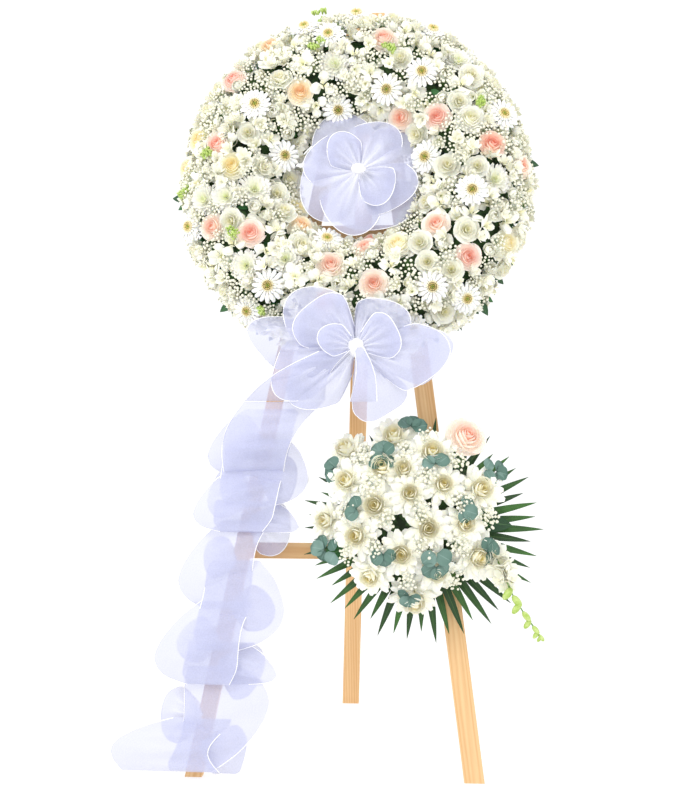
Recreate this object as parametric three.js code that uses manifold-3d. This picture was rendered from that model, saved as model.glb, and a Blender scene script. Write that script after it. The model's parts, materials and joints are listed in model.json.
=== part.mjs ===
// A funeral wreath on its folding pine easel, with a bouquet on the crossbar and organza bows.
// Millimetres, +Z up, +Y towards the back, +X to the viewer's right.
import * as THREE from "three";
import { mergeVertices } from "three/addons/utils/BufferGeometryUtils.js";
import Module from "manifold-3d";

// ---------------------------------------------------------------- driving dimensions
const FIT = 0.4; // gap left between neighbours that touch in the real object
const FRAME_LEAN = 10; // degrees the front frame leans back from upright
const APEX = 1861; // length of the front frame, measured up its slope
const APEX_X = 17; // where the two front legs meet
const BATTEN = 20; // thickness of every batten
const LEFT_LEG = { foot: -359, head: APEX_X - 20.1, width: 38 };
const RIGHT_LEG = { foot: 277, head: APEX_X + 23.4, width: 45 };
const CROSSBAR = { height: 37, thick: 18, lower: 513, upper: 1290 };
const REAR_LEG = { lean: 9.1, width: 45, footX: -45, stub: 66, length: 1790 };
const HINGE = { back: 58, up: 1782, leaf: 1.8, width: 54, height: 52, knuckle: 4, pin: 1.6 };
const BLOCK = { width: 92, bottom: 8, top: 1857 };

const WREATH_UP = 1380; // centre of the ring, up the slope of the frame
const RING = { middle: 275, halfWidth: 137, back: -20, waist: -40, front: -183 };
const FOAM = { inner: 205, outer: 345, front: -75, wall: 3.2, rim: -16 };
const ROUND = { screw: 7, hole: 8, knuckle: 10, head: 9, ring: 30 }; // sides of round pieces

const BOUQUET = { x: 136, up: 598, wide: 222, tall: 214, back: -19, front: -190 };
const TRAY = { left: 92, right: 236, low: 538, high: 682, depth: 22, wall: 2.4, foam: -78 };
const TIE_UP = 469; // the red band round the right leg
const TAIL_TOP = 846; // the main bow ends and its tail begins here

const degrees = THREE.MathUtils.degToRad;
const wasm = await Module();
wasm.setup();

// ---------------------------------------------------------------- materials
const finish = (color, roughness, metalness = 0) =>
  new THREE.MeshStandardMaterial({ color, roughness, metalness });
const pine = finish("#e3b981", 0.6);
const zincSteel = finish("#b9bcc0", 0.35, 1);
const trayPlastic = finish("#2f4a36", 0.5);
const wetFoam = finish("#3f6a45", 0.95);
const creamFlowers = finish("#f1eee0", 0.8);
const petalTones = {
  blush: finish("#f4c9b6", 0.7),
  pink: finish("#f0b3a2", 0.7),
  peach: finish("#f0cfa0", 0.7),
  cream: finish("#f4ecc9", 0.7),
};
const daisyWhite = finish("#f7f6ee", 0.7);
const chrysanthemum = finish("#eef0d8", 0.8);
const leafGreen = finish("#2e5f33", 0.5);
const gumLeaf = finish("#5f8a83", 0.6);
const budLime = finish("#b9cf7a", 0.6);
const organza = finish("#e4e3f2", 0.6);
const redBand = finish("#b2402f", 0.6);

// ---------------------------------------------------------------- solids and placing
// A closed three.js geometry as a solid that can be joined and cut.
function solid(geometry) {
  const bare = geometry.index ? geometry.toNonIndexed() : geometry.clone();
  bare.deleteAttribute("normal");
  bare.deleteAttribute("uv");
  const merged = mergeVertices(bare, 1e-3);
  const vertProperties = new Float32Array(merged.attributes.position.array);
  const triVerts = new Uint32Array(merged.index.array);
  return new wasm.Manifold(new wasm.Mesh({ numProp: 3, vertProperties, triVerts }));
}

function geometryOf(manifold) {
  const mesh = manifold.getMesh();
  const geometry = new THREE.BufferGeometry();
  geometry.setAttribute("position", new THREE.BufferAttribute(mesh.vertProperties, 3));
  geometry.setIndex(new THREE.BufferAttribute(mesh.triVerts, 1));
  geometry.computeVertexNormals();
  return geometry;
}

const joined = (parts) => parts.map(solid).reduce((whole, part) => whole.add(part));
const cut = (whole, tools) => tools.reduce((rest, tool) => rest.subtract(tool), whole);

// A copy of the geometry, turned by degrees about X, Y and Z in that order, then moved.
function placed(geometry, [x, y, z], [rx, ry, rz] = [0, 0, 0]) {
  const turn = new THREE.Euler(degrees(rx), degrees(ry), degrees(rz), "ZYX");
  const matrix = new THREE.Matrix4().makeRotationFromEuler(turn).setPosition(x, y, z);
  return geometry.clone().applyMatrix4(matrix);
}

// A flat piece: an outline in X and Z, from y = near to y = far.
function panel(outline, near, far, holes = []) {
  const corners = (points) => points.map(([x, z]) => new THREE.Vector2(x, z));
  const shape = Array.isArray(outline) ? new THREE.Shape(corners(outline)) : outline;
  shape.holes.push(...holes);
  const options = { depth: far - near, bevelEnabled: false, curveSegments: 6 };
  return placed(new THREE.ExtrudeGeometry(shape, options), [0, far, 0], [90, 0, 0]);
}

function block([x0, x1], [y0, y1], [z0, z1]) {
  const middle = [(x0 + x1) / 2, (y0 + y1) / 2, (z0 + z1) / 2];
  return placed(new THREE.BoxGeometry(x1 - x0, y1 - y0, z1 - z0), middle);
}

// A turned piece about the Y axis of its frame: points are [radius, y].
function turned(profile, sides) {
  return new THREE.LatheGeometry(profile.map(([r, y]) => new THREE.Vector2(r, y)), sides);
}

// A rod along Y between two depths.
function rod(radius, near, far, x = 0, z = 0, sides = ROUND.hole) {
  return placed(new THREE.CylinderGeometry(radius, radius, far - near, sides), [x, (near + far) / 2, z]);
}

function pillow([x, y, z], [a, b, c], turn = [0, 0, 0], detail = [9, 6]) {
  return placed(new THREE.SphereGeometry(1, ...detail).scale(a, b, c), [x, y, z], turn);
}

function node(name, shape, material, parent) {
  const geometry = shape.isBufferGeometry ? shape : geometryOf(shape);
  const mesh = new THREE.Mesh(geometry, material);
  mesh.name = name;
  parent.add(mesh);
  return mesh;
}

// ---------------------------------------------------------------- the object's three frames
const wreath = new THREE.Group();
const frontFrame = new THREE.Group(); // Z runs up the slope, Y is square to it, towards the back
frontFrame.rotation.x = degrees(-FRAME_LEAN);
wreath.add(frontFrame);

const rearFrame = new THREE.Group(); // the hinge pin is its X axis, the rear leg hangs down its Z
const leanSin = Math.sin(degrees(FRAME_LEAN));
const leanCos = Math.cos(degrees(FRAME_LEAN));
const inWorld = (x, y, z) => [x, y * leanCos + z * leanSin, z * leanCos - y * leanSin];
rearFrame.position.set(...inWorld(0, HINGE.back, HINGE.up));
rearFrame.rotation.x = degrees(REAR_LEG.lean);
wreath.add(rearFrame);

// The floor, far wider than the object, seen from the front frame.
const floorBox = new THREE.BoxGeometry(4000, 4000, 400).translate(0, 0, -200).rotateX(degrees(FRAME_LEAN));
const floor = solid(floorBox);

// ---------------------------------------------------------------- easel
const legX = (leg, up) => leg.foot + ((leg.head - leg.foot) * up) / APEX;
const legAngle = (leg) => Math.atan((leg.head - leg.foot) / APEX);
const legHalf = (leg) => leg.width / 2 / Math.cos(legAngle(leg));

// A front leg's outline from below the floor to the apex, wider by grow on each side.
function legOutline(leg, grow = 0, low = -30, high = APEX) {
  const half = legHalf(leg) + grow;
  const across = (up, side) => [legX(leg, up) + side * half, up];
  return [across(low, -1), across(low, 1), across(high, 1), across(high, -1)];
}

const legFront = (leg) => cut(solid(panel(legOutline(leg), 0, BATTEN)), [floor]);
const legRoom = (leg, grow) => solid(panel(legOutline(leg, grow, -60, APEX + 60), -grow, BATTEN + grow));

// A crossbar lies on the backs of both front legs and ends flush with their outer edges.
function crossbar(up) {
  const low = up - CROSSBAR.height / 2;
  const high = up + CROSSBAR.height / 2;
  const left = (at) => [legX(LEFT_LEG, at) - legHalf(LEFT_LEG), at];
  const right = (at) => [legX(RIGHT_LEG, at) + legHalf(RIGHT_LEG), at];
  const near = BATTEN + FIT;
  return solid(panel([left(low), right(low), right(high), left(high)], near, near + CROSSBAR.thick));
}

// A pan-head wood screw along Y: its head sits at y = seat and its point runs towards -Y.
function screwFromBack(x, z, seat, length) {
  const profile = [[0, 2.6], [3.4, 1.6], [4.5, 0], [2, 0], [2, 2 - length], [0, -length]];
  return placed(turned(profile.reverse(), ROUND.screw), [x, seat, z]);
}

const screwHole = (x, z, near, far) => solid(rod(2.6, near, far, x, z));

const BAR_SCREW = 32;
const barBack = BATTEN + FIT + CROSSBAR.thick;
const barScrews = [CROSSBAR.lower, CROSSBAR.upper].flatMap((up) =>
  [LEFT_LEG, RIGHT_LEG].map((leg) => ({ x: legX(leg, up), up })),
);
const blockScrews = [LEFT_LEG, RIGHT_LEG].map((leg) => ({ x: legX(leg, 1815), up: 1815 }));
// The tray's inner wall hangs on these two screws, just above their shanks.
const hangingScrews = [LEFT_LEG, RIGHT_LEG].map((leg) => {
  const x = legX(leg, WREATH_UP + FOAM.inner - 12);
  return { x, up: WREATH_UP + Math.sqrt((FOAM.inner - FOAM.wall - 4) ** 2 - x ** 2) };
});
const trayScrews = [566, 654].map((up) => ({ x: legX(RIGHT_LEG, up), up }));

const barHoles = barScrews.map(({ x, up }) => screwHole(x, up, barBack - BAR_SCREW - 1, barBack + 1));
const blockHoles = blockScrews.map(({ x, up }) => screwHole(x, up, 5, 60));
const hangingHoles = hangingScrews.map(({ x, up }) => screwHole(x, up, -1, 15));
const trayHoles = trayScrews.map(({ x, up }) => screwHole(x, up, -10, 15));
const frontHoles = [...barHoles, ...blockHoles, ...hangingHoles, ...trayHoles];

function addEasel() {
  node("left_front_leg", cut(legFront(LEFT_LEG), frontHoles), pine, frontFrame);
  node("right_front_leg", cut(legFront(RIGHT_LEG), frontHoles), pine, frontFrame);
  node("lower_crossbar", cut(crossbar(CROSSBAR.lower), barHoles), pine, frontFrame);
  node("upper_crossbar", cut(crossbar(CROSSBAR.upper), barHoles), pine, frontFrame);
  barScrews.forEach(({ x, up }, i) => {
    node(`crossbar_screw_${i + 1}`, screwFromBack(x, up, barBack + FIT, BAR_SCREW), zincSteel, frontFrame);
  });
}

// ---------------------------------------------------------------- top block, hinge and rear leg
const hingeGap = HINGE.leaf + 1.5 * FIT; // from the pin's plane to the wood on either side of it
const leafCentres = [-16, 16].map((dx) => APEX_X + dx);
const leafScrewUp = 26;
const knuckleStops = [-27, -10, 10, 27].map((dx) => APEX_X + dx);

// A tube of one hinge knuckle, or the room for it, along X.
function knuckle(from, to, radius, sides = ROUND.knuckle) {
  const tube = new THREE.CylinderGeometry(radius, radius, to - from, sides);
  return solid(placed(tube, [(from + to) / 2, 0, 0], [0, 0, 90]));
}

// A countersunk screw along Y through a leaf; side is +1 when it points to the back.
function leafScrew(x, side, grow) {
  const face = side * (FIT / 2);
  const profile = [[0, 0], [3.4 + grow, 0], [1.7 + grow, 1.9], [1.7 + grow, 8], [0, 10 + grow]];
  const ordered = side > 0 ? profile : profile.map(([r, y]) => [r, -y]).reverse();
  return placed(turned(ordered, ROUND.screw), [x, face, leafScrewUp]);
}

function leaf(side, stops) {
  const near = side > 0 ? FIT / 2 : -FIT / 2 - HINGE.leaf;
  const across = [APEX_X - HINGE.width / 2, APEX_X + HINGE.width / 2];
  const plate = solid(block(across, [near, near + HINGE.leaf], [0, HINGE.height]));
  const barrels = stops.map(([from, to]) => knuckle(from + FIT, to - FIT, HINGE.knuckle));
  const rooms = [knuckle(knuckleStops[0] - 9, knuckleStops[3] + 9, HINGE.pin + FIT + 0.2)];
  const others = knuckleStops.slice(0, 3).map((from, i) => [from, knuckleStops[i + 1]]);
  const closed = others.filter(([from]) => !stops.some(([own]) => own === from));
  closed.forEach(([from, to]) => rooms.push(knuckle(from - FIT, to + FIT, HINGE.knuckle + 0.8)));
  leafCentres.forEach((x) => rooms.push(solid(leafScrew(x, side, FIT))));
  const whole = barrels.reduce((rest, barrel) => rest.add(barrel), plate);
  return cut(whole, rooms);
}

// How far back the wedge's rear face lies at a height. It is parallel to the open rear leg.
const opening = degrees(FRAME_LEAN + REAR_LEG.lean);
function rearFace(up) {
  return HINGE.back - hingeGap / Math.cos(opening) - (up - HINGE.up) * Math.tan(opening);
}

// The wedge that joins the legs' heads and carries the hinge.
function topBlock() {
  const low = HINGE.up + BLOCK.bottom;
  const near = BATTEN + FIT;
  const side = [[near, low], [rearFace(low), low], [rearFace(BLOCK.top), BLOCK.top], [near, BLOCK.top]];
  const shape = new THREE.Shape(side.map(([y, z]) => new THREE.Vector2(y, z)));
  const wedge = new THREE.ExtrudeGeometry(shape, { depth: BLOCK.width, bevelEnabled: false });
  const left = APEX_X - BLOCK.width / 2;
  const sideways = new THREE.Matrix4().set(0, 0, 1, left, 1, 0, 0, 0, 0, 1, 0, 0, 0, 0, 0, 1);
  return solid(wedge.applyMatrix4(sideways));
}

function addHingeAndRearLeg() {
  const toFront = new THREE.Matrix4().makeRotationX(opening);
  toFront.setPosition(0, HINGE.back, HINGE.up);
  const rearRoom = (geometry) => solid(geometry.clone().applyMatrix4(toFront));
  const pocketed = leafCentres.map((x) => rearRoom(leafScrew(x, -1, FIT)));
  const knuckleRoom = knuckle(knuckleStops[0] - 4, knuckleStops[3] + 4, HINGE.knuckle + 0.8);
  // The block's screws are sunk below its sloping face.
  const sunk = blockScrews.map(({ x, up }) => solid(rod(6, rearFace(up) - 8, 80, x, up)));
  node("top_block", cut(topBlock(), [...blockHoles, ...pocketed, ...sunk]), pine, frontFrame);
  blockScrews.forEach(({ x, up }, i) => {
    const side = i ? "right" : "left";
    const screw = screwFromBack(x, up, rearFace(up) - 8 + FIT, 24);
    node(`block_screw_${side}`, screw, zincSteel, frontFrame);
  });

  const outer = [[knuckleStops[0], knuckleStops[1]], [knuckleStops[2], knuckleStops[3]]];
  node("hinge_block_leaf", leaf(-1, outer), zincSteel, rearFrame);
  node("hinge_leg_leaf", leaf(1, [[knuckleStops[1], knuckleStops[2]]]), zincSteel, rearFrame);
  const pinHalf = knuckleStops[3] - APEX_X + 1;
  const pinProfile = [[0, -pinHalf - 2], [2.6, -pinHalf - 2], [2.6, -pinHalf], [HINGE.pin, -pinHalf]];
  const mirrored = pinProfile.map(([r, y]) => [r, -y]).reverse();
  const pin = turned([...pinProfile, ...mirrored], ROUND.screw);
  node("hinge_pin", placed(pin, [APEX_X, 0, 0], [0, 0, 90]), zincSteel, rearFrame);
  leafCentres.forEach((x, i) => {
    node(`hinge_block_screw_${i + 1}`, leafScrew(x, -1, 0), zincSteel, rearFrame);
    node(`hinge_leg_screw_${i + 1}`, leafScrew(x, 1, 0), zincSteel, rearFrame);
  });

  const slant = (REAR_LEG.footX - APEX_X) / (HINGE.up * leanCos);
  const centre = (down) => APEX_X + slant * down;
  const half = REAR_LEG.width / 2;
  const corner = (down, side) => [centre(down) + side * half, -down];
  const low = REAR_LEG.length;
  const outline = [corner(low, -1), corner(low, 1), corner(-REAR_LEG.stub, 1), corner(-REAR_LEG.stub, -1)];
  const batten = solid(panel(outline, hingeGap, hingeGap + BATTEN));
  const rearFloor = new THREE.BoxGeometry(2000, 2000, 400).translate(0, 0, -200 - rearFrame.position.z);
  const legTools = [solid(rearFloor.rotateX(degrees(-REAR_LEG.lean))), knuckleRoom];
  leafCentres.forEach((x) => legTools.push(solid(leafScrew(x, 1, FIT))));
  node("rear_leg", cut(batten, legTools), pine, rearFrame);
}

// ---------------------------------------------------------------- ring: tray, foam, flowers
const ringFrame = new THREE.Group(); // its Y axis is the ring's axis
ringFrame.position.z = WREATH_UP;
frontFrame.add(ringFrame);

// A point of the ring's flower surface: clock angle from the top and radius from the centre.
function ringPoint(clock, radius) {
  const across = THREE.MathUtils.clamp((radius - RING.middle) / RING.halfWidth, -0.98, 0.98);
  const height = Math.sqrt(1 - across * across);
  const depth = RING.waist + (RING.front - RING.waist) * height;
  const a = degrees(clock);
  const point = new THREE.Vector3(Math.sin(a) * radius, depth, Math.cos(a) * radius);
  const out = new THREE.Vector3(Math.sin(a) * across, -height, Math.cos(a) * across).normalize();
  return { point, out };
}

// The D-shaped section of the flowers, closed, with its rounded side to the front, swelling by grow.
function ringSection(grow, count) {
  const points = [];
  for (let i = 0; i < count; i += 1) {
    const a = (2 * Math.PI * i) / count;
    const depth = Math.sin(a) > 0 ? RING.back - RING.waist : RING.waist - RING.front + grow;
    points.push([RING.middle + Math.cos(a) * (RING.halfWidth + grow), RING.waist + Math.sin(a) * depth]);
  }
  return [...points, points[0]];
}

// Flower heads make the mass lumpy: low waves round the ring and round its section.
function lumpyRing() {
  const geometry = turned(ringSection(0, 10), 52);
  const place = geometry.attributes.position;
  for (let i = 0; i < place.count; i += 1) {
    const [x, y, z] = [place.getX(i), place.getY(i), place.getZ(i)];
    const clock = Math.atan2(x, z);
    const radius = Math.hypot(x, z);
    const turn = Math.atan2(RING.waist - y, radius - RING.middle);
    const front = Math.max(0, Math.sin(turn));
    const wave = Math.sin(19 * clock + 2 * turn) + Math.sin(13 * clock - 3 * turn + 1);
    const swell = 1 + wave * (0.02 + 0.015 * front);
    const newRadius = RING.middle + (radius - RING.middle) * swell;
    const newY = y < RING.waist ? RING.waist + (y - RING.waist) * swell : y;
    place.setXYZ(i, Math.sin(clock) * newRadius, newY, Math.cos(clock) * newRadius);
  }
  return solid(geometry);
}

// Places a geometry that points up +Z so that it points out of the ring at that spot.
function onRing(geometry, clock, radius, lift) {
  const { point, out } = ringPoint(clock, radius);
  const turn = new THREE.Quaternion().setFromUnitVectors(new THREE.Vector3(0, 0, 1), out);
  const fullSize = new THREE.Vector3(1, 1, 1);
  const matrix = new THREE.Matrix4().compose(point.addScaledVector(out, lift), turn, fullSize);
  return geometry.clone().applyMatrix4(matrix);
}

const upright = (profile, sides) => turned(profile, sides).rotateX(Math.PI / 2);

// A rose: three rings of petals round a closed heart, on a short stem.
function rose(size) {
  const k = size / 62;
  const stem = [[0, -40], [2.5, -40], [2.5, -24]];
  const profile = [...stem, [10, -22], [24, -6], [30, 9], [23, 7], [20, 17], [0, 18]];
  return upright(profile.map(([r, z]) => [r * k, z * k]), ROUND.head);
}

// The pocket that a rose of that size sits in, open to the front.
function roseRoom(size) {
  const k = size / 62;
  const profile = [[0, -42], [4, -42], [4, -27], [13, -25], [33, 4], [33, 30], [0, 30]];
  return upright(profile.map(([r, z]) => [r * k, z * k]), ROUND.head);
}

// A gerbera: a flat fringe of petals round a low button, on a stem.
function gerbera(size) {
  const petals = 11;
  const shape = new THREE.Shape();
  for (let i = 0; i <= petals * 2; i += 1) {
    const a = (Math.PI * i) / petals;
    const r = (size / 2) * (i % 2 ? 0.8 : 1);
    if (i === 0) shape.moveTo(r, 0);
    else shape.lineTo(Math.cos(a) * r, Math.sin(a) * r);
  }
  const fringe = new THREE.ExtrudeGeometry(shape, { depth: 5, bevelEnabled: false });
  const button = upright([[0, -36], [2.5, -36], [2.5, -12], [9, -6], [10, 9], [0, 12]], ROUND.screw);
  return geometryOf(joined([fringe, button]));
}

function gerberaRoom(size) {
  const rim = size * 0.54;
  return upright([[0, -38], [3.4, -38], [3.4, -15], [14, -9], [rim, -1.4], [rim, 30], [0, 30]], ROUND.head);
}

// A spider chrysanthemum: a shallow dome with a ragged rim, on a stem.
function mum(size) {
  const k = size / 80;
  const profile = [[0, -36], [2.5, -36], [2.5, -10], [24, -4], [40, 6], [26, 19], [0, 24]];
  return upright(profile.map(([r, z]) => [r * k, z * k]), ROUND.head);
}

function mumRoom(size) {
  const rim = size * 0.54;
  const stem = [[0, -38], [3.6, -38], [3.6, -13]];
  return upright([...stem, [size * 0.34, -7], [rim, 3], [rim, 40], [0, 40]], ROUND.head);
}

// The large heads stand round the ring in even steps, from the outer row to the middle one to the inner one.
const ROWS = [RING.middle + 56, RING.middle + 4, RING.middle - 50];
const HEAD_ORDER = [
  "rose", "daisy", "rose", "rose", "daisy", "rose", "daisy", "rose",
  "rose", "daisy", "rose", "mum", "rose", "daisy", "rose", "daisy",
];
const FIRST_HEAD = 12; // clock angle of the first head
const headPlaces = HEAD_ORDER.map((kind, i) => {
  const clock = FIRST_HEAD + (360 * i) / HEAD_ORDER.length;
  return { kind, clock, radius: ROWS[i % ROWS.length] };
});
const roseTones = ["blush", "pink", "pink", "blush", "blush", "blush", "pink", "pink", "peach"];
const MUM = 82;
const ROSE = 62;
const GERBERA = 76;

function addWreath() {
  const { inner, outer, front, wall, rim } = FOAM;
  const trayProfile = [
    [inner - wall, -FIT], [inner - wall, rim], [inner - FIT, rim], [inner - FIT, -wall],
    [outer + FIT, -wall], [outer + FIT, rim], [outer + wall, rim], [outer + wall, -FIT], [inner - wall, -FIT],
  ];
  node("ring_tray", turned(trayProfile, ROUND.ring), trayPlastic, ringFrame);

  const foamProfile = (grow) => [
    [inner - grow, -wall - FIT + grow], [inner - grow, front + 14], [inner + 14, front - grow],
    [outer - 14, front - grow], [outer + grow, front + 14], [outer + grow, -wall - FIT + grow],
    [inner - grow, -wall - FIT + grow],
  ];
  const foamRoom = solid(turned(foamProfile(1.6), ROUND.ring));

  const heads = [];
  const rooms = [];
  const placesOf = (kind) => headPlaces.filter((place) => place.kind === kind);
  placesOf("rose").forEach(({ clock, radius }, i) => {
    heads.push([`wreath_rose_${i + 1}`, onRing(rose(ROSE), clock, radius, 0), petalTones[roseTones[i]]]);
    rooms.push(solid(onRing(roseRoom(ROSE), clock, radius, 0)));
  });
  placesOf("daisy").forEach(({ clock, radius }, i) => {
    heads.push([`gerbera_${i + 1}`, onRing(gerbera(GERBERA), clock, radius, 2), daisyWhite]);
    rooms.push(solid(onRing(gerberaRoom(GERBERA), clock, radius, 2)));
  });
  placesOf("mum").forEach(({ clock, radius }) => {
    heads.push(["spider_mum", onRing(mum(MUM), clock, radius, 0), chrysanthemum]);
    rooms.push(solid(onRing(mumRoom(MUM), clock, radius, 0)));
  });

  Object.values(bowWires).forEach(([from, to]) => {
    const longer = to.map((value, axis) => value + (value - from[axis]) * 0.02);
    rooms.push(solid(bowWire([from, longer], 3).translate(0, 0, -WREATH_UP)));
  });

  node("foam_ring", cut(solid(turned(foamProfile(0), ROUND.ring)), rooms), wetFoam, ringFrame);
  node("flower_ring", cut(lumpyRing(), [foamRoom, ...rooms]), creamFlowers, ringFrame);
  heads.forEach(([name, geometry, tone]) => node(name, geometry, tone, ringFrame));
  node("leaf_collar", leafCollar(), leafGreen, ringFrame);

  hangingScrews.forEach(({ x, up }, i) => {
    const head = FOAM.rim - FIT;
    const profile = [[0, head - 2], [5, head - 2], [5, head], [2, head], [2, 10], [0, 13]];
    const side = i ? "right" : "left";
    node(`hanging_screw_${side}`, placed(turned(profile, ROUND.screw), [x, 0, up]), zincSteel, frontFrame);
  });
}

// Leaf tips that fan out behind the flowers: a flat ring with a pointed rim.
function leafCollar() {
  const tips = 26;
  const shape = new THREE.Shape();
  for (let i = 0; i <= tips * 2; i += 1) {
    const a = (Math.PI * i) / tips;
    const reach = 412 + 9 * Math.sin(i * 2.4);
    const r = i % 2 ? 386 : reach;
    if (i === 0) shape.moveTo(r, 0);
    else shape.lineTo(Math.cos(a) * r, Math.sin(a) * r);
  }
  const rim = FOAM.outer + FOAM.wall + 2;
  const around = Array.from({ length: tips }, (_, i) => (-2 * Math.PI * i) / tips);
  const hole = new THREE.Path(around.map((a) => new THREE.Vector2(Math.cos(a) * rim, Math.sin(a) * rim)));
  return panel(shape, RING.back + FIT, RING.back + 4, [hole]);
}

// ---------------------------------------------------------------- organza bows and tail
// Room that the bows and the tail leave round the flowers and the left leg.
const ringRoom = () => solid(turned(ringSection(18, 10), 20).translate(0, 0, WREATH_UP));
const bowRoom = (grow) => solid(pillow([17, -206, 948], [24 + grow, 30 + grow, 26 + grow]));

// Each bow is wired to the foam: a stiff wire from inside the bow to inside the ring.
const bowWires = {
  centre: [[-60, -112, 1380], [-240, -52, 1380]],
  main: [[-60, -200, 990], [-60, -52, 1078]],
};
const bowWire = ([from, to], radius) =>
  tube(new THREE.LineCurve3(new THREE.Vector3(...from), new THREE.Vector3(...to)), radius, 1);

function addCentreBow() {
  const loops = [
    pillow([-60, -128, 1470], [84, 34, 64], [0, 28, 0]),
    pillow([78, -128, 1440], [70, 34, 70], [0, -20, 0]),
    pillow([-76, -124, 1380], [68, 32, 70], [0, -30, 0]),
    pillow([-62, -118, 1308], [64, 28, 60], [0, 40, 0]),
    pillow([16, -116, 1300], [60, 28, 84]),
    pillow([88, -116, 1328], [62, 28, 74], [0, -35, 0]),
    pillow([8, -130, 1400], [58, 32, 84]),
  ];
  const knot = pillow([13, -168, 1398], [20, 18, 17]);
  const knotRoom = solid(pillow([13, -168, 1398], [21, 19, 18]));
  const bow = cut(joined(loops), [ringRoom(), knotRoom]).add(solid(bowWire(bowWires.centre, 1.5)));
  node("centre_bow", bow, organza, frontFrame);
  node("centre_bow_knot", knot, organza, frontFrame);
}

function addMainBow() {
  const left = [
    pillow([-200, -190, 992], [84, 58, 58], [0, 24, 0]),
    pillow([-84, -200, 1018], [92, 62, 62], [0, -12, 0]),
    pillow([-134, -184, 918], [106, 62, 60], [0, -28, 0]),
    pillow([-30, -206, 956], [70, 62, 84]),
  ];
  const right = [
    pillow([84, -200, 1006], [96, 60, 52], [0, 16, 0]),
    pillow([148, -188, 938], [90, 62, 64], [0, 8, 0]),
    pillow([108, -172, 872], [72, 56, 72], [0, -30, 0]),
    pillow([46, -196, 920], [54, 50, 100], [0, -10, 0]),
  ];
  const sides = { left: [-800, 16.5], right: [17.5, 800] };
  const half = (loops, side) => cut(joined(loops), [ringRoom(), bowRoom(1)]).intersect(
    solid(block(sides[side], [-600, 0], [TAIL_TOP + 1, 1300])),
  );
  const wired = half(left, "left").add(solid(bowWire(bowWires.main, 1.5)));
  node("main_bow_left", wired, organza, frontFrame);
  node("main_bow_right", half(right, "right"), organza, frontFrame);
  node("main_bow_knot", bowRoom(0), organza, frontFrame);
}

// The tail runs down the left leg in loose turns; the leg passes through every one of them.
function addTail() {
  const upper = [
    pillow([-122, -126, 816], [88, 50, 72], [0, -40, 0]),
    pillow([-204, -30, 782], [104, 84, 74], [0, -14, 0]),
    pillow([-226, -6, 640], [122, 88, 88], [0, 16, 0]),
    pillow([-226, 6, 712], [80, 70, 60]),
  ];
  const middle = [
    pillow([-262, 4, 478], [92, 76, 62], [0, 20, 0]),
    pillow([-214, 4, 402], [86, 70, 66], [0, -24, 0]),
    pillow([-374, 4, 300], [92, 76, 92], [0, 20, 0]),
    pillow([-280, 4, 276], [66, 72, 86], [0, -16, 0]),
  ];
  const lower = [
    pillow([-330, 8, 170], [64, 50, 76], [0, 16, 0]),
    pillow([-400, 0, 76], [124, 58, 62], [0, -22, 0]),
    pillow([-306, 0, 70], [66, 62, 104], [0, 10, 0]),
  ];
  const legTool = legRoom(LEFT_LEG, 1.5);
  const barHeights = [CROSSBAR.lower - 22, CROSSBAR.lower + 22];
  const barTool = solid(block([-320, 300], [BATTEN - 2, barBack + 6], barHeights));
  // Everything in front of the plane in which the folded rear leg comes to lie.
  const foldRoom = solid(block([-2000, 2000], [barBack + 14, 900], [-200, 2200]));
  const band = (low, high) => solid(block([-900, 500], [-500, 500], [low, high]));
  const whole = cut(joined([...upper, ...middle, ...lower]), [legTool, barTool, foldRoom, floor]);
  node("tail_upper", whole.intersect(band(545, TAIL_TOP)), organza, frontFrame);
  node("tail_middle", whole.intersect(band(205, 544)), organza, frontFrame);
  node("tail_lower", whole.intersect(band(-20, 204)), organza, frontFrame);
}

// ---------------------------------------------------------------- bouquet
const onBouquet = (clock, share) => ({
  x: BOUQUET.x + BOUQUET.wide * share * Math.sin(degrees(clock)),
  up: BOUQUET.up + BOUQUET.tall * share * Math.cos(degrees(clock)),
});
const bouquetRoses = [
  { ...onBouquet(35, 0.94), y: -112, tone: "blush", turn: [-62, 34] },
  { ...onBouquet(-10, 0.44), y: -188, tone: "cream", turn: [-82, 4] },
];
const BOUQUET_ROSE = 84;

// Places a head that points up +Z, leaning towards the front and to one side.
const inBouquet = (geometry, { x, y, up, turn }) => {
  const aimed = geometry.clone().rotateX(degrees(-turn[0])).rotateY(degrees(turn[1]));
  return aimed.translate(x, y, up);
};

// The dome of flowers, lumpy like the ring, flat where it faces the legs.
function bouquetMass() {
  const geometry = new THREE.SphereGeometry(1, 20, 10);
  const place = geometry.attributes.position;
  for (let i = 0; i < place.count; i += 1) {
    const [x, y, z] = [place.getX(i), place.getY(i), place.getZ(i)];
    const clock = Math.atan2(x, z);
    const lobes = 0.05 * Math.sin(7 * clock + 0.6) * Math.hypot(x, z);
    const swell = 1 + lobes + 0.03 * Math.sin(9 * x) * Math.sin(8 * z);
    const widest = BOUQUET.back - 40;
    const depth = widest + y * (y < 0 ? widest - BOUQUET.front : 40);
    place.setXYZ(i, x * BOUQUET.wide * swell, depth, z * BOUQUET.tall * swell);
  }
  return solid(geometry.translate(BOUQUET.x, 0, BOUQUET.up));
}

// Palm fronds fan out behind the flowers, in the plane between them and the legs.
const FRONDS = { count: 27, x: BOUQUET.x + 24, up: BOUQUET.up - 34, wide: 262, tall: 244 };
const frondTips = Array.from({ length: FRONDS.count }, (_, i) => {
  const a = (2 * Math.PI * i) / FRONDS.count;
  const reach = i % 3 ? 1 : 0.95;
  return [FRONDS.x + FRONDS.wide * reach * Math.sin(a), FRONDS.up + FRONDS.tall * reach * Math.cos(a)];
});

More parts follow.
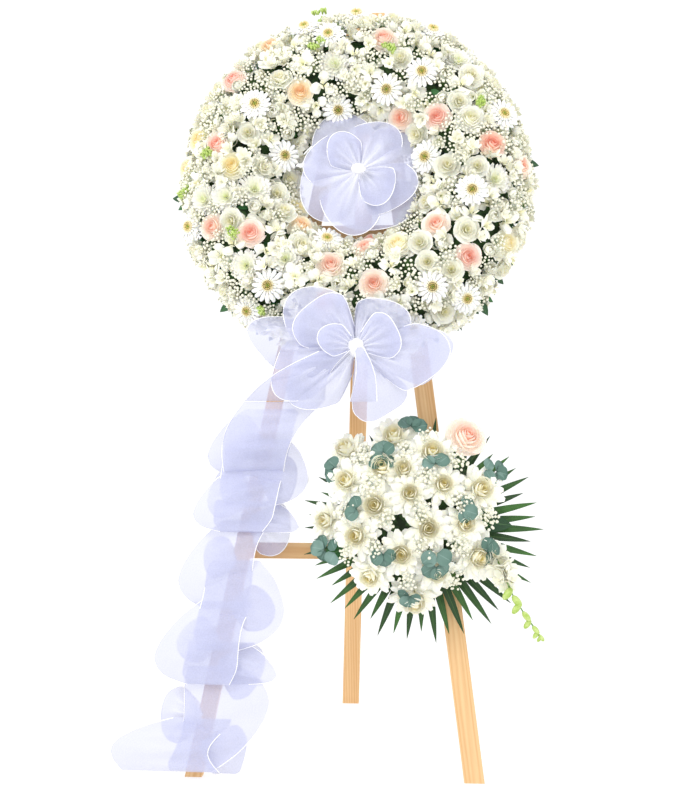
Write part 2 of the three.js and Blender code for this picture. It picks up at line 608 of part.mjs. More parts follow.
function palmFan() {
  const outline = [];
  frondTips.forEach(([x, up], i) => {
    const [nextX, nextUp] = frondTips[(i + 1) % frondTips.length];
    const middle = [(x + nextX) / 2, (up + nextUp) / 2];
    outline.push([x, up]);
    outline.push([BOUQUET.x + (middle[0] - BOUQUET.x) * 0.8, BOUQUET.up + (middle[1] - BOUQUET.up) * 0.8]);
  });
  const room = 2;
  const hole = new THREE.Path([
    [TRAY.left - room, TRAY.low - room], [TRAY.right + room, TRAY.low - room],
    [TRAY.right + room, TRAY.high + room], [TRAY.left - room, TRAY.high + room],
  ].map(([x, z]) => new THREE.Vector2(x, z)));
  return panel(outline, BOUQUET.back + FIT, -10, [hole]);
}

// A sprig of gum leaves: a bent stem with round leaves in pairs, rising out of the flowers.
// With grow it is the room that the flowers leave for it.
function gumSprig(grow = 0) {
  const stem = new THREE.CatmullRomCurve3([
    new THREE.Vector3(214, -60, 648), new THREE.Vector3(262, -104, 668), new THREE.Vector3(330, -108, 712),
  ]);
  const parts = [tube(stem, 3 + grow, 4)];
  [0.5, 0.74, 0.98].forEach((at, i) => {
    const p = stem.getPointAt(at);
    const size = [21 + grow, 6 + grow, 23 + grow];
    parts.push(pillow([p.x - 4, p.y - 3, p.z + 17], size, [0, 20 - 12 * i, 0], [7, 4]));
    parts.push(pillow([p.x + 8, p.y - 2, p.z - 15], size, [0, 40 - 12 * i, 0], [7, 4]));
  });
  return joined(parts);
}

// A round rod along a curve.
function tube(curve, radius, steps) {
  const section = new THREE.Shape();
  section.absarc(0, 0, radius, 0, 2 * Math.PI, false);
  return new THREE.ExtrudeGeometry(section, { steps, extrudePath: curve, curveSegments: 2 });
}

// A drooping orchid spray that ends in a row of closed buds; with grow it is the room for it.
function budSpray(grow = 0) {
  const stem = new THREE.CatmullRomCurve3([
    new THREE.Vector3(258, -70, 560), new THREE.Vector3(322, -112, 500), new THREE.Vector3(364, -122, 408),
    new THREE.Vector3(420, -112, 326),
  ]);
  const bloom = [34 + grow, 20 + grow, 34 + grow];
  const parts = [tube(stem, 3 + grow, 6), pillow([338, -122, 476], bloom, [0, 0, 0], [8, 4])];
  [0.64, 0.74, 0.84, 0.92, 0.99].forEach((at, i) => {
    const p = stem.getPointAt(at);
    const size = 11 - 1.2 * i + grow;
    parts.push(pillow([p.x + (i % 2 ? 6 : -6), p.y, p.z - 3], [size, size, size * 1.4], [0, 30, 0], [6, 4]));
  });
  return joined(parts);
}

function addBouquet() {
  const { left, right, low, high, depth, wall, foam } = TRAY;
  const shell = solid(block([left, right], [-depth, -FIT], [low, high]));
  const hollow = [[left + wall, right - wall], [-depth - 1, -FIT - wall], [low + wall, high - wall]];
  const inside = solid(block(...hollow));
  node("bouquet_tray", cut(shell, [inside, ...trayHoles]), trayPlastic, frontFrame);
  trayScrews.forEach(({ x, up }, i) => {
    const profile = [[0, -6.4], [4, -6], [4.5, -wall - 2 * FIT], [2, -wall - 2 * FIT], [2, 10], [0, 13]];
    const screw = placed(turned(profile, ROUND.screw), [x, 0, up]);
    node(`tray_screw_${i + 1}`, screw, zincSteel, frontFrame);
  });

  const heads = bouquetRoses.map((head) => inBouquet(rose(BOUQUET_ROSE), head));
  const headRooms = bouquetRoses.map((head) => solid(inBouquet(roseRoom(BOUQUET_ROSE), head)));
  const rooms = [gumSprig(2), budSpray(2)];
  const gap = 1;
  const foamSides = (grow) => [
    [left + wall + gap - grow, right - wall - gap + grow],
    [foam - grow, -8 + grow],
    [low + wall + gap - grow, high - wall - gap + grow],
  ];
  node("bouquet_foam", cut(solid(block(...foamSides(0))), [...headRooms, ...rooms]), wetFoam, frontFrame);
  const trayRoom = solid(block([left - gap, right + gap], [-depth - gap, 5], [low - gap, high + gap]));
  const tools = [...headRooms, ...rooms, trayRoom, solid(block(...foamSides(0.6)))];
  node("bouquet_flowers", cut(bouquetMass(), tools), creamFlowers, frontFrame);
  heads.forEach((head, i) => {
    node(`bouquet_rose_${i + 1}`, head, petalTones[bouquetRoses[i].tone], frontFrame);
  });
  node("eucalyptus_sprig", gumSprig(), gumLeaf, frontFrame);
  node("bud_spray", budSpray(), budLime, frontFrame);
  node("palm_leaves", palmFan(), leafGreen, frontFrame);
}

// The band that ties the bouquet's stems to the right leg.
function addLegTie() {
  const band = new THREE.Group();
  band.position.set(legX(RIGHT_LEG, TIE_UP), 0, TIE_UP);
  band.rotation.y = legAngle(RIGHT_LEG);
  frontFrame.add(band);
  const half = RIGHT_LEG.width / 2 + FIT;
  const outside = solid(block([-half - 2, half + 2], [-FIT - 2, BATTEN + FIT + 2], [-6, 6]));
  const inside = solid(block([-half, half], [-FIT, BATTEN + FIT], [-7, 7]));
  node("leg_tie", cut(outside, [inside]), redBand, band);
}

addEasel();
addHingeAndRearLeg();
addWreath();
addCentreBow();
addMainBow();
addTail();
addBouquet();
addLegTie();

// The origin is the middle of the object's footprint box, on the floor.
wreath.updateMatrixWorld(true);
const reach = new THREE.Box3().setFromObject(wreath, true);
wreath.position.set(-(reach.min.x + reach.max.x) / 2, -(reach.min.y + reach.max.y) / 2, -reach.min.z);

export default wreath;
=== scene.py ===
"""Looks of a funeral wreath on a folding pine easel: flowers, leaves, organza bows and the stand's finish.

Lengths are millimetres in the easel's own leaning frame unless a name says otherwise: x to the right,
depth square to the front legs and towards the back, up along their slope.
"""

import json
import math
import random

import bmesh
import bpy
from mathutils import Matrix, Vector, noise


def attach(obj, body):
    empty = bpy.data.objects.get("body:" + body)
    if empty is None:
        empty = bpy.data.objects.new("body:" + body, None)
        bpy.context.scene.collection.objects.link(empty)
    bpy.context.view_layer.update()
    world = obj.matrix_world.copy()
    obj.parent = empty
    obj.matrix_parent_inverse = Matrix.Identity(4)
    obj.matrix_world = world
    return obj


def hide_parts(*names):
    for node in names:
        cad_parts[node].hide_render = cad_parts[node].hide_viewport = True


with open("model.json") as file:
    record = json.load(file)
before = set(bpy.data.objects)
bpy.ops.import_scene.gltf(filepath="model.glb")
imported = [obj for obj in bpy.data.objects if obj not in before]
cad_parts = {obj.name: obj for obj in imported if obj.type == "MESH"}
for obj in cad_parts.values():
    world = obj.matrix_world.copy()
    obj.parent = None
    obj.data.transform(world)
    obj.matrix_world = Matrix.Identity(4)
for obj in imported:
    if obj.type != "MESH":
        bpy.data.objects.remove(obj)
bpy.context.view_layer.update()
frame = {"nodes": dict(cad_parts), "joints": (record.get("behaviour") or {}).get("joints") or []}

# ---------------------------------------------------------------- the leaning frame of the easel
MM = 0.001
LEAN = math.radians(10)
HINGE_PIN = Vector((17, 58, 1782))  # the rear leg's hinge in the easel's own frame
TILT = Matrix.Rotation(-LEAN, 4, "X") @ Matrix.Scale(MM, 4)
HINGE = next(joint for joint in frame["joints"] if joint["name"] == "rear_leg_hinge")
EASEL = Matrix.Translation(Vector(HINGE["pos_m"]) - TILT @ HINGE_PIN) @ TILT

FRONT = Vector((0, -1, 0))
BACK = Vector((0, 1, 0))

RING_UP = 1380  # height of the ring's centre
RING_MIDDLE = 275  # from there to the middle of the ring's section
RING_HALF = 137  # half the section's width
RING_WAIST = -40  # depth at which the section is widest
RING_SWELL = 143  # how far it swells to the front of that
RIM_FULLER = 10  # the rim is that much fuller than the section
TOP_FULLER = 16  # and by this more at the top
DOME = Vector((136, -59, 598))  # middle of the bouquet's back
DOME_HALF = Vector((222, 131, 214))  # half its width, its depth to the front, half its height


# ---------------------------------------------------------------- materials
def linear(code):
    """An sRGB hex colour as the linear values that a shader takes."""
    parts = [int(code[i:i + 2], 16) / 255 for i in (1, 3, 5)]
    return [c / 12.92 if c <= 0.04045 else ((c + 0.055) / 1.055) ** 2.4 for c in parts] + [1.0]


def add(tree, kind, sockets=None, stops=None, **settings):
    """Adds one shader node: its settings, its ramp's stops, and a value or a link for each socket.

    A ramp's first and last stops come first, then those between them.
    """
    made = tree.nodes.new("ShaderNode" + kind)
    for name, value in settings.items():
        setattr(made, name, value)
    for i, (place, code) in enumerate(stops or []):
        points = made.color_ramp.elements
        point = points[i] if i < 2 else points.new(place)
        point.position = place
        point.color = linear(code)
    for name, value in (sockets or {}).items():
        if isinstance(value, bpy.types.NodeSocket):
            tree.links.new(value, made.inputs[name])
        else:
            made.inputs[name].default_value = value
    return made


def blank(name):
    """A new material whose tree holds only its output."""
    material = bpy.data.materials.new(name)
    material.use_nodes = True
    material.node_tree.nodes.clear()
    return material, material.node_tree


def shade(tree, sockets):
    """Ends a material in one Principled shader."""
    shader = add(tree, "BsdfPrincipled", sockets)
    add(tree, "OutputMaterial", {"Surface": shader.outputs[0]})


def petal_skin(name, rim, body, heart, base, painted_glow=0.09):
    """Living petal: matt, velvety and a little see-through, deeper towards the heart and pale at its edge,
    partly the petal's own paler rim and partly a painted highlight.

    The petal emits a little light in its own colour: painted light that stands for the light thin petals pass
    on to the ones below and lifts their shaded hearts.
    """
    material, tree = blank(name)
    tint = add(tree, "Attribute", attribute_name="petal")
    split = add(tree, "SeparateColor", {"Color": tint.outputs["Color"]})
    along, across, chance = (split.outputs[channel] for channel in ("Red", "Green", "Blue"))
    inner = add(tree, "ValToRGB", {"Fac": tint.outputs["Alpha"]}, stops=[
        (0.0, heart), (1.0, rim), (0.5, body),
    ])
    # painted highlight: the outer third of each petal pales towards the rim colour, partly its own paler edge
    # and partly light caught on the curled rim
    pale = add(tree, "ValToRGB", {"Fac": along}, stops=[(0.66, "#000000"), (1.0, "#D8D8D8")])
    edged = add(tree, "Mix", {
        0: pale.outputs["Color"], 6: inner.outputs["Color"], 7: linear(rim),
    }, data_type="RGBA")
    foot = add(tree, "ValToRGB", {"Fac": along}, stops=[(0.0, "#FFFFFF"), (0.35, "#000000")])
    tinted = add(tree, "Mix", {
        0: foot.outputs["Color"], 6: edged.outputs[2], 7: linear(base),
    }, data_type="RGBA")
    place = add(tree, "TexCoord")
    flecks = add(tree, "TexNoise", {"Vector": place.outputs["Object"], "Scale": 1 / (24 * MM), "Detail": 3.0})
    uneven = add(tree, "Math", {0: chance, 1: flecks.outputs["Fac"]}, operation="MULTIPLY")
    value = add(tree, "MapRange", {
        "Value": uneven.outputs[0], "From Max": 0.7, "To Min": 1.03, "To Max": 0.94,
    })
    hue = add(tree, "HueSaturation", {"Color": tinted.outputs[2], "Value": value.outputs[0]})
    # veins fan across a petal about 2 mm apart
    flat = add(tree, "CombineXYZ", {"X": across, "Y": along})
    fanned = add(tree, "Mapping", {"Vector": flat.outputs[0], "Scale": (26.0, 3.0, 1.0)})
    veins = add(tree, "TexNoise", {"Vector": fanned.outputs[0], "Scale": 1.0, "Detail": 2.0})
    relief = add(tree, "Bump", {"Height": veins.outputs["Fac"], "Strength": 0.35, "Distance": 0.6 * MM})
    shade(tree, {
        "Base Color": hue.outputs[0], "Roughness": 0.62, "Normal": relief.outputs[0],
        "Subsurface Weight": 0.25, "Subsurface Radius": (1.0, 0.85, 0.6), "Subsurface Scale": 4 * MM,
        "Sheen Weight": 0.15, "Specular IOR Level": 0.3,
        # painted light: the petal emits its own colour, brightening the shade deep in the flower
        "Emission Color": hue.outputs[0], "Emission Strength": painted_glow,
    })
    return material


def leaf_skin(name, edge, middle, rib_tone, roughness):
    """Leaf: waxy upper skin, a paler midrib and fine side veins."""
    material, tree = blank(name)
    tint = add(tree, "Attribute", attribute_name="petal")
    split = add(tree, "SeparateColor", {"Color": tint.outputs["Color"]})
    across = split.outputs["Green"]
    centred = add(tree, "Math", {0: across, 1: 0.5}, operation="SUBTRACT")
    off = add(tree, "Math", {0: centred.outputs[0]}, operation="ABSOLUTE")
    rib = add(tree, "ValToRGB", {"Fac": off.outputs[0]}, stops=[(0.0, "#C0C0C0"), (0.045, "#000000")])
    place = add(tree, "TexCoord")
    cloud = add(tree, "TexNoise", {"Vector": place.outputs["Object"], "Scale": 1 / (30 * MM), "Detail": 4.0})
    mixed = add(tree, "Math", {0: cloud.outputs["Fac"], 1: split.outputs["Blue"]}, operation="MULTIPLY")
    tone = add(tree, "ValToRGB", {"Fac": mixed.outputs[0]}, stops=[(0.1, edge), (0.6, middle)])
    ribbed = add(tree, "Mix", {
        0: rib.outputs["Color"], 6: tone.outputs["Color"], 7: linear(rib_tone),
    }, data_type="RGBA")
    veins = add(tree, "TexWave", {
        "Vector": add(tree, "CombineXYZ", {"X": split.outputs["Red"], "Y": off.outputs[0]}).outputs[0],
        "Scale": 5.0, "Distortion": 1.0,
    }, bands_direction="DIAGONAL")
    relief = add(tree, "Bump", {"Height": veins.outputs["Fac"], "Strength": 0.25, "Distance": 0.5 * MM})
    shade(tree, {
        "Base Color": ribbed.outputs[2], "Roughness": roughness, "Normal": relief.outputs[0],
        "Specular IOR Level": 0.45,
    })
    return material


def pine(name, along):
    """Planed pine, unfinished: pale sapwood with straight grain along the batten and a few resin streaks."""
    material, tree = blank(name)
    place = add(tree, "TexCoord")
    turn = Vector(along).to_track_quat("Z", "Y").to_euler()
    laid = add(tree, "Mapping", {"Vector": place.outputs["Object"], "Rotation": turn}, vector_type="TEXTURE")
    drawn = add(tree, "Mapping", {"Vector": laid.outputs[0], "Scale": (1.0, 1.0, 0.045)})
    waver = add(tree, "TexNoise", {"Vector": drawn.outputs[0], "Scale": 1 / (26 * MM), "Detail": 2.0})
    # growth rings show as lines about 7 mm apart
    rings = add(tree, "TexWave", {
        "Vector": drawn.outputs[0], "Scale": math.pi / (10 * 7 * MM), "Distortion": 9.0, "Detail": 2.0,
        "Detail Scale": 0.7,
    }, bands_direction="X")
    fibre = add(tree, "TexNoise", {"Vector": drawn.outputs[0], "Scale": 1 / (1.3 * MM), "Detail": 3.0})
    grain = add(tree, "Math", {0: rings.outputs["Fac"], 1: 0.4}, operation="MULTIPLY")
    grain = add(tree, "Math", {0: grain.outputs[0], 1: waver.outputs["Fac"]}, operation="ADD")
    tone = add(tree, "ValToRGB", {"Fac": grain.outputs[0]}, stops=[
        (0.25, "#EDC894"), (1.0, "#DBAA72"), (0.62, "#E8BE8A"),
    ])
    fine = add(tree, "MapRange", {"Value": fibre.outputs["Fac"], "To Min": 0.9, "To Max": 1.08})
    colour = add(tree, "HueSaturation", {"Color": tone.outputs["Color"], "Value": fine.outputs[0]})
    relief = add(tree, "Bump", {"Height": fibre.outputs["Fac"], "Strength": 0.3, "Distance": 0.3 * MM})
    shade(tree, {"Base Color": colour.outputs[0], "Roughness": 0.62, "Normal": relief.outputs[0]})
    return material


def zinc_steel():
    """Zinc-plated steel: a cool grey metal with the cloudy spangle of its plating."""
    material, tree = blank("zinc_plated_steel")
    place = add(tree, "TexCoord")
    cloud = add(tree, "TexVoronoi", {"Vector": place.outputs["Object"], "Scale": 1 / (3 * MM)})
    tone = add(tree, "ValToRGB", {"Fac": cloud.outputs["Distance"]}, stops=[
        (0.0, "#B9BCC0"), (1.0, "#9CA0A6"),
    ])
    rough = add(tree, "MapRange", {"Value": cloud.outputs["Distance"], "To Min": 0.28, "To Max": 0.45})
    shade(tree, {"Base Color": tone.outputs["Color"], "Metallic": 1.0, "Roughness": rough.outputs[0]})
    return material


def moulded_tray():
    """Moulded polypropylene, dark green: soft gloss and a fine grained skin."""
    material, tree = blank("moulded_polypropylene_green")
    place = add(tree, "TexCoord")
    grit = add(tree, "TexNoise", {"Vector": place.outputs["Object"], "Scale": 1 / (0.9 * MM), "Detail": 1.0})
    relief = add(tree, "Bump", {"Height": grit.outputs["Fac"], "Strength": 0.15, "Distance": 0.2 * MM})
    cloud = add(tree, "TexNoise", {"Vector": place.outputs["Object"], "Scale": 1 / (60 * MM)})
    tone = add(tree, "ValToRGB", {"Fac": cloud.outputs["Fac"]}, stops=[(0.3, "#28422F"), (0.7, "#33513B")])
    shade(tree, {"Base Color": tone.outputs["Color"], "Roughness": 0.45, "Normal": relief.outputs[0]})
    return material


def wet_foam():
    """Soaked phenolic floral foam: dark green, crumbly, with open pores about 1.5 mm across."""
    material, tree = blank("phenolic_floral_foam")
    place = add(tree, "TexCoord")
    pores = add(tree, "TexVoronoi", {"Vector": place.outputs["Object"], "Scale": 1 / (1.5 * MM)})
    tone = add(tree, "ValToRGB", {"Fac": pores.outputs["Distance"]}, stops=[
        (0.1, "#24402A"), (0.7, "#4A7350"),
    ])
    relief = add(tree, "Bump", {"Height": pores.outputs["Distance"], "Strength": 0.7, "Distance": 0.8 * MM})
    shade(tree, {"Base Color": tone.outputs["Color"], "Roughness": 0.95, "Normal": relief.outputs[0]})
    return material


def rubber_band():
    """Vulcanised rubber tie, red: matt with faint marks of stretching across it."""
    material, tree = blank("vulcanised_rubber_red")
    place = add(tree, "TexCoord")
    marks = add(tree, "TexNoise", {"Vector": place.outputs["Object"], "Scale": 1 / (4 * MM), "Detail": 3.0})
    tone = add(tree, "ValToRGB", {"Fac": marks.outputs["Fac"]}, stops=[(0.3, "#A93A2A"), (0.8, "#C4523E")])
    relief = add(tree, "Bump", {"Height": marks.outputs["Fac"], "Strength": 0.2, "Distance": 0.2 * MM})
    shade(tree, {"Base Color": tone.outputs["Color"], "Roughness": 0.7, "Normal": relief.outputs[0]})
    return material


def plain_skin(name, low, high, roughness, size, bump):
    """Small plant parts that have no clear foot and tip: a mottled matt skin."""
    material, tree = blank(name)
    place = add(tree, "TexCoord")
    cloud = add(tree, "TexNoise", {
        "Vector": place.outputs["Object"], "Scale": 1 / (size * MM), "Detail": 4.0,
    })
    tone = add(tree, "ValToRGB", {"Fac": cloud.outputs["Fac"]}, stops=[(0.35, low), (0.65, high)])
    relief = add(tree, "Bump", {"Height": cloud.outputs["Fac"], "Strength": bump, "Distance": 0.5 * MM})
    shade(tree, {"Base Color": tone.outputs["Color"], "Roughness": roughness, "Normal": relief.outputs[0]})
    return material


def gerbera_eye():
    """Gerbera disc: a ring of pale yellow florets round a green heart."""
    material, tree = blank("gerbera_disc_florets")
    tint = add(tree, "Attribute", attribute_name="petal")
    split = add(tree, "SeparateColor", {"Color": tint.outputs["Color"]})
    tone = add(tree, "ValToRGB", {"Fac": split.outputs["Red"]}, stops=[
        (0.0, "#8FA84E"), (1.0, "#FBF0C8"), (0.3, "#C9C766"), (0.55, "#F3DC8C"),
    ])
    place = add(tree, "TexCoord")
    grit = add(tree, "TexNoise", {"Vector": place.outputs["Object"], "Scale": 1 / (1.2 * MM)})
    relief = add(tree, "Bump", {"Height": grit.outputs["Fac"], "Strength": 0.4, "Distance": 0.4 * MM})
    shade(tree, {"Base Color": tone.outputs["Color"], "Roughness": 0.8, "Normal": relief.outputs[0]})
    return material


# ---------------------------------------------------------------- forms
def bend(points, t):
    """A point on the quadratic curve through three guide points."""
    a, b, c = points
    return [(1 - t) ** 2 * p + 2 * t * (1 - t) * q + t * t * r for p, q, r in zip(a, b, c)]


def new_form():
    """An empty form. Its tint holds the place along and across a petal, a chance value and a tone depth."""
    form = bmesh.new()
    form.verts.layers.float_color.new("petal")
    return form


def soften(form):
    """Shades every face of a form smooth."""
    for face in form.faces:
        face.smooth = True


def mesh_of(name, form):
    """Turns a finished form into a mesh."""
    mesh = bpy.data.meshes.new(name)
    form.to_mesh(mesh)
    form.free()
    return mesh


def coat(form, verts, value, skin=0):
    """Gives a small part one value of the tint and one of the materials."""
    tint = form.verts.layers.float_color["petal"]
    for vert in verts:
        vert[tint] = value
    for face in {face for vert in verts for face in vert.link_faces}:
        face.material_index = skin


def petal(form, side, spread, turn, depth, tip, power, twist, roll, cells):
    """Adds a petal round the Z axis.

    side is its curve as three (radius, height) points and spread its half angle. tip and power shape its end,
    twist sets one edge further out than the other, and roll curls its rim outwards.
    """
    tint = form.verts.layers.float_color["petal"]
    for vert in bmesh.ops.create_grid(form, x_segments=cells[0], y_segments=cells[1], size=1)["verts"]:
        across, along = vert.co.x, (vert.co.y + 1) / 2
        reach = along * (1 - tip * abs(across) ** power)
        radius, height = bend(side, reach)
        curl = roll * max(0.0, along - 0.6) ** 2
        radius += twist * across + curl
        height -= roll * across * across * along * 0.4
        width = spread * (0.3 + 0.7 * math.sin(min(1.0, 1.4 * reach + 0.1) * math.pi / 2))
        angle = turn + across * width
        vert.co = (radius * math.cos(angle), radius * math.sin(angle), height)
        margin = max(along, abs(across) ** 3 * min(1.0, 2 * along))
        vert[tint] = (margin, (across + 1) / 2, 0.0, depth)


def template(name, build, *args):
    """Builds a small mesh once, to be stamped many times."""
    form = new_form()
    build(form, *args)
    soften(form)
    return mesh_of(name, form)


def templates(name, build, count, first=0):
    """Builds a few variants of a flower, each from its own seed."""
    return [template(f"{name}_{i}", build, i + first) for i in range(count)]


def aim(point, facing, spin=0.0, size=1.0):
    """The placing of a form that points up Z: at a point, turned to face a direction, spun and scaled."""
    turn = Vector(facing).to_track_quat("Z", "Y").to_matrix().to_4x4()
    return Matrix.Translation(point) @ turn @ Matrix.Rotation(spin, 4, "Z") @ Matrix.Scale(size, 4)


def stamp(form, mesh, place, chance):
    """Adds a copy of a template to a piece, with its own value for the tint's third channel."""
    copy = mesh.copy()
    copy.transform(EASEL @ place)
    tint = copy.attributes["petal"].data
    values = [0.0] * (4 * len(tint))
    tint.foreach_get("color", values)
    values[2::4] = [chance] * len(tint)
    tint.foreach_set("color", values)
    form.from_mesh(copy)
    bpy.data.meshes.remove(copy)


def piece(name, form, materials, slot, replaces=()):
    """Makes a finished piece of the stand: its mesh, its materials and the nodes that it stands for."""
    mesh = mesh_of(name, form)
    for material in materials:
        mesh.materials.append(material)
    made = bpy.data.objects.new(name, mesh)
    bpy.context.scene.collection.objects.link(made)
    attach(made, "stand")
    if replaces:
        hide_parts(*replaces)
    return made


# ---------------------------------------------------------------- flowers, each a template of radius 1
# whorls of a flower: petals, rim radius, rim height, belly radius, belly height, half angle, tone depth
SPRAY_ROSE = [
    (2, 0.05, 0.98, 0.26, 0.70, 120, 0.0), (3, 0.14, 0.96, 0.40, 0.62, 95, 0.1),
    (3, 0.26, 0.92, 0.54, 0.54, 82, 0.25), (4, 0.40, 0.85, 0.68, 0.44, 66, 0.42),
    (5, 0.57, 0.74, 0.84, 0.32, 54, 0.62), (5, 0.78, 0.60, 0.98, 0.16, 50, 0.85),
    (5, 1.02, 0.42, 1.04, 0.00, 44, 1.0),
]
LISIANTHUS = [
    (3, 0.10, 0.90, 0.36, 0.60, 110, 0.3), (4, 0.34, 0.84, 0.58, 0.44, 78, 0.55),
    (5, 0.66, 0.66, 0.80, 0.22, 60, 0.85), (5, 1.04, 0.40, 0.94, 0.02, 50, 1.0),
]
LILY = [
    (3, 0.30, 0.66, 0.20, 0.40, 44, 0.25), (3, 0.92, 0.44, 0.42, 0.40, 37, 0.8),
    (3, 1.08, 0.28, 0.50, 0.32, 40, 1.0),
]
CLOSED_BUD = [
    (3, 0.12, 1.30, 0.60, 0.70, 95, 0.6), (3, 0.30, 1.14, 0.78, 0.5, 78, 0.85),
    (4, 0.76, 0.72, 0.84, 0.2, 50, 1.0),
]
REFLEXED_HEART = [
    (2, 0.05, 1.00, 0.22, 0.70, 120, 0.1), (3, 0.13, 0.98, 0.34, 0.62, 92, 0.3),
    (4, 0.25, 0.92, 0.48, 0.52, 68, 0.5), (5, 0.42, 0.82, 0.58, 0.44, 50, 0.7),
]
REFLEXED_RIM = [
    (6, 0.72, 0.66, 0.50, 0.46, 31, 0.8), (7, 0.96, 0.46, 0.60, 0.46, 27, 0.9),
    (8, 1.16, 0.20, 0.72, 0.42, 25, 1.0), (7, 1.16, -0.12, 0.78, 0.28, 25, 1.0),
]
# rays of a gerbera: how many, reach, lift, tone depth
GERBERA_RAYS = [(16, 1.0, 0.14, 1.0), (16, 0.86, 0.26, 0.9), (18, 0.52, 0.32, 0.7)]
# florets of its eye: how many, radius, height, size
GERBERA_EYE = [(1, 0.0, 0.24, 0.09), (7, 0.1, 0.25, 0.07), (13, 0.2, 0.27, 0.07), (20, 0.3, 0.3, 0.075)]
# quills of a spider chrysanthemum: how many, reach, height, tone depth
MUM_QUILLS = [
    (30, 1.0, 0.24, 1.0), (28, 0.86, 0.44, 0.85), (24, 0.66, 0.58, 0.65), (16, 0.42, 0.66, 0.35),
    (9, 0.2, 0.62, 0.0),
]


def whorls(form, rows, rng, tip, power, roll, cells=(7, 5)):
    """Adds rings of petals, one inside the other, each petal a little uneven."""
    for count, rim, top, belly, low, half, depth in rows:
        start = rng.uniform(0, math.tau)
        for i in range(count):
            wide = rng.uniform(0.92, 1.08)
            edge = (rim * rng.uniform(0.95, 1.05), top * rng.uniform(0.94, 1.04))
            side = ((0.04, 0.0), (belly * wide, low), edge)
            turn = start + math.tau * i / count + rng.uniform(-0.08, 0.08)
            petal(form, side, math.radians(half), turn, depth, tip, power, 0.05 * belly + 0.015, roll, cells)


def spray_rose(form, seed):
    whorls(form, SPRAY_ROSE, random.Random(seed), 0.16, 2.4, 0.5)


def lisianthus(form, seed):
    whorls(form, LISIANTHUS, random.Random(seed), 0.22, 2.0, 0.7, (6, 4))


def lily(form, seed):
    whorls(form, LILY, random.Random(seed), 0.42, 1.3, 0.6, (5, 5))


def closed_bud(form, seed):
    whorls(form, CLOSED_BUD, random.Random(seed), 0.3, 1.4, 0.1, (6, 5))


def reflexed_rose(form, seed):
    """A garden rose whose outer petals are folded back to points."""
    rng = random.Random(seed)
    whorls(form, REFLEXED_HEART, rng, 0.25, 1.8, 0.3)
    whorls(form, REFLEXED_RIM, rng, 0.62, 1.0, 0.8, (7, 6))


def gerbera(form, seed):
    """A daisy head: rows of flat rays round an eye of short tubes."""
    rng = random.Random(seed)
    for count, rim, lift, depth in GERBERA_RAYS:
        start = rng.uniform(0, math.tau)
        for i in range(count):
            turn = start + math.tau * i / count + rng.uniform(-0.03, 0.03)
            reach = rim * rng.uniform(0.95, 1.03)
            side = ((0.2, 0.08), (reach * 0.6, lift + 0.06), (reach, lift - 0.05 + rng.uniform(-0.04, 0.05)))
            petal(form, side, math.pi / count * 0.9, turn, depth, 0.26, 2.2, 0, 0.22, (4, 5))
    eye_radius = GERBERA_EYE[-1][1]
    for count, radius, height, size in GERBERA_EYE:
        for i in range(count):
            turn = math.tau * (i + 0.5 * rng.random()) / count
            spot = Matrix.Translation((radius * math.cos(turn), radius * math.sin(turn), height))
            floret = bmesh.ops.create_cone(
                form, cap_ends=True, segments=5, radius1=size * 0.8, radius2=size * 0.35, depth=size * 2.4,
                matrix=spot,
            )["verts"]
            coat(form, floret, (radius / eye_radius, 0.5, 0, 0), 1)


def spider_mum(form, seed):
    """A chrysanthemum of thin quills, upright in the middle and spreading at its rim."""
    rng = random.Random(seed)
    for count, rim, top, depth in MUM_QUILLS:
        start = rng.uniform(0, math.tau)
        for i in range(count):
            reach = rim * rng.uniform(0.88, 1.06)
            turn = start + math.tau * i / count + rng.uniform(-0.08, 0.08)
            side = ((0.05, 0.1), (reach * 0.66, top * 0.5), (reach, top + rng.uniform(-0.05, 0.08)))
            petal(form, side, 0.075 / max(reach, 0.3) + 0.02, turn, depth, 0.1, 2, 0, 0.0, (2, 5))


def freesia(form, seed):
    """A small trumpet of two rows of three petals."""
    rng = random.Random(seed)
    for row, (rim, top) in enumerate(((1.0, 0.9), (0.8, 1.05))):
        for i in range(3):
            turn = math.tau * (i + 0.5 * row) / 3 + rng.uniform(-0.1, 0.1)
            side = ((0.06, -0.3), (0.42, 0.5), (rim * rng.uniform(0.9, 1.1), top))
            petal(form, side, math.radians(50), turn, 0.5 + 0.4 * row, 0.45, 1.5, 0.0, 0.4, (4, 5))


def leaf(form, width=0.42, fold=0.16, droop=0.25):
    """A pointed leaf along Y, one unit long, folded a little along its midrib."""
    tint = form.verts.layers.float_color["petal"]
    for vert in bmesh.ops.create_grid(form, x_segments=4, y_segments=7, size=1)["verts"]:
        across, along = vert.co.x, (vert.co.y + 1) / 2
        half = width / 2 * math.sin(math.pi * along ** 0.8) ** 0.8 + 0.012
        vert.co = (across * half, along, fold * abs(across) * half - droop * along * along)
        vert[tint] = (along, (across + 1) / 2, 0, 1)


def gum_leaf(form):
    """A round gum leaf, one unit across, from its short stalk at the origin."""
    tint = form.verts.layers.float_color["petal"]
    for vert in bmesh.ops.create_grid(form, x_segments=6, y_segments=7, size=1)["verts"]:
        across, along = vert.co.x, (vert.co.y + 1) / 2
        half = 0.5 * math.sqrt(max(0.0, 1 - (2 * along - 1) ** 2)) ** 0.85 + 0.01
        vert.co = (across * half, 0.08 + along * 0.96, 0.1 * abs(across) ** 2 - 0.16 * along * along)
        vert[tint] = (along, (across + 1) / 2, 0, 1)


def ball(form, point, size, long, sides=(6, 4)):
    """A small round part, drawn out along Z."""
    place = Matrix.Translation(point) @ Matrix.Diagonal((1, 1, long, 1))
    made = bmesh.ops.create_uvsphere(
        form, u_segments=sides[0], v_segments=sides[1], radius=size, matrix=place
    )
    coat(form, made["verts"], (0.8, 0.5, 0, 1))


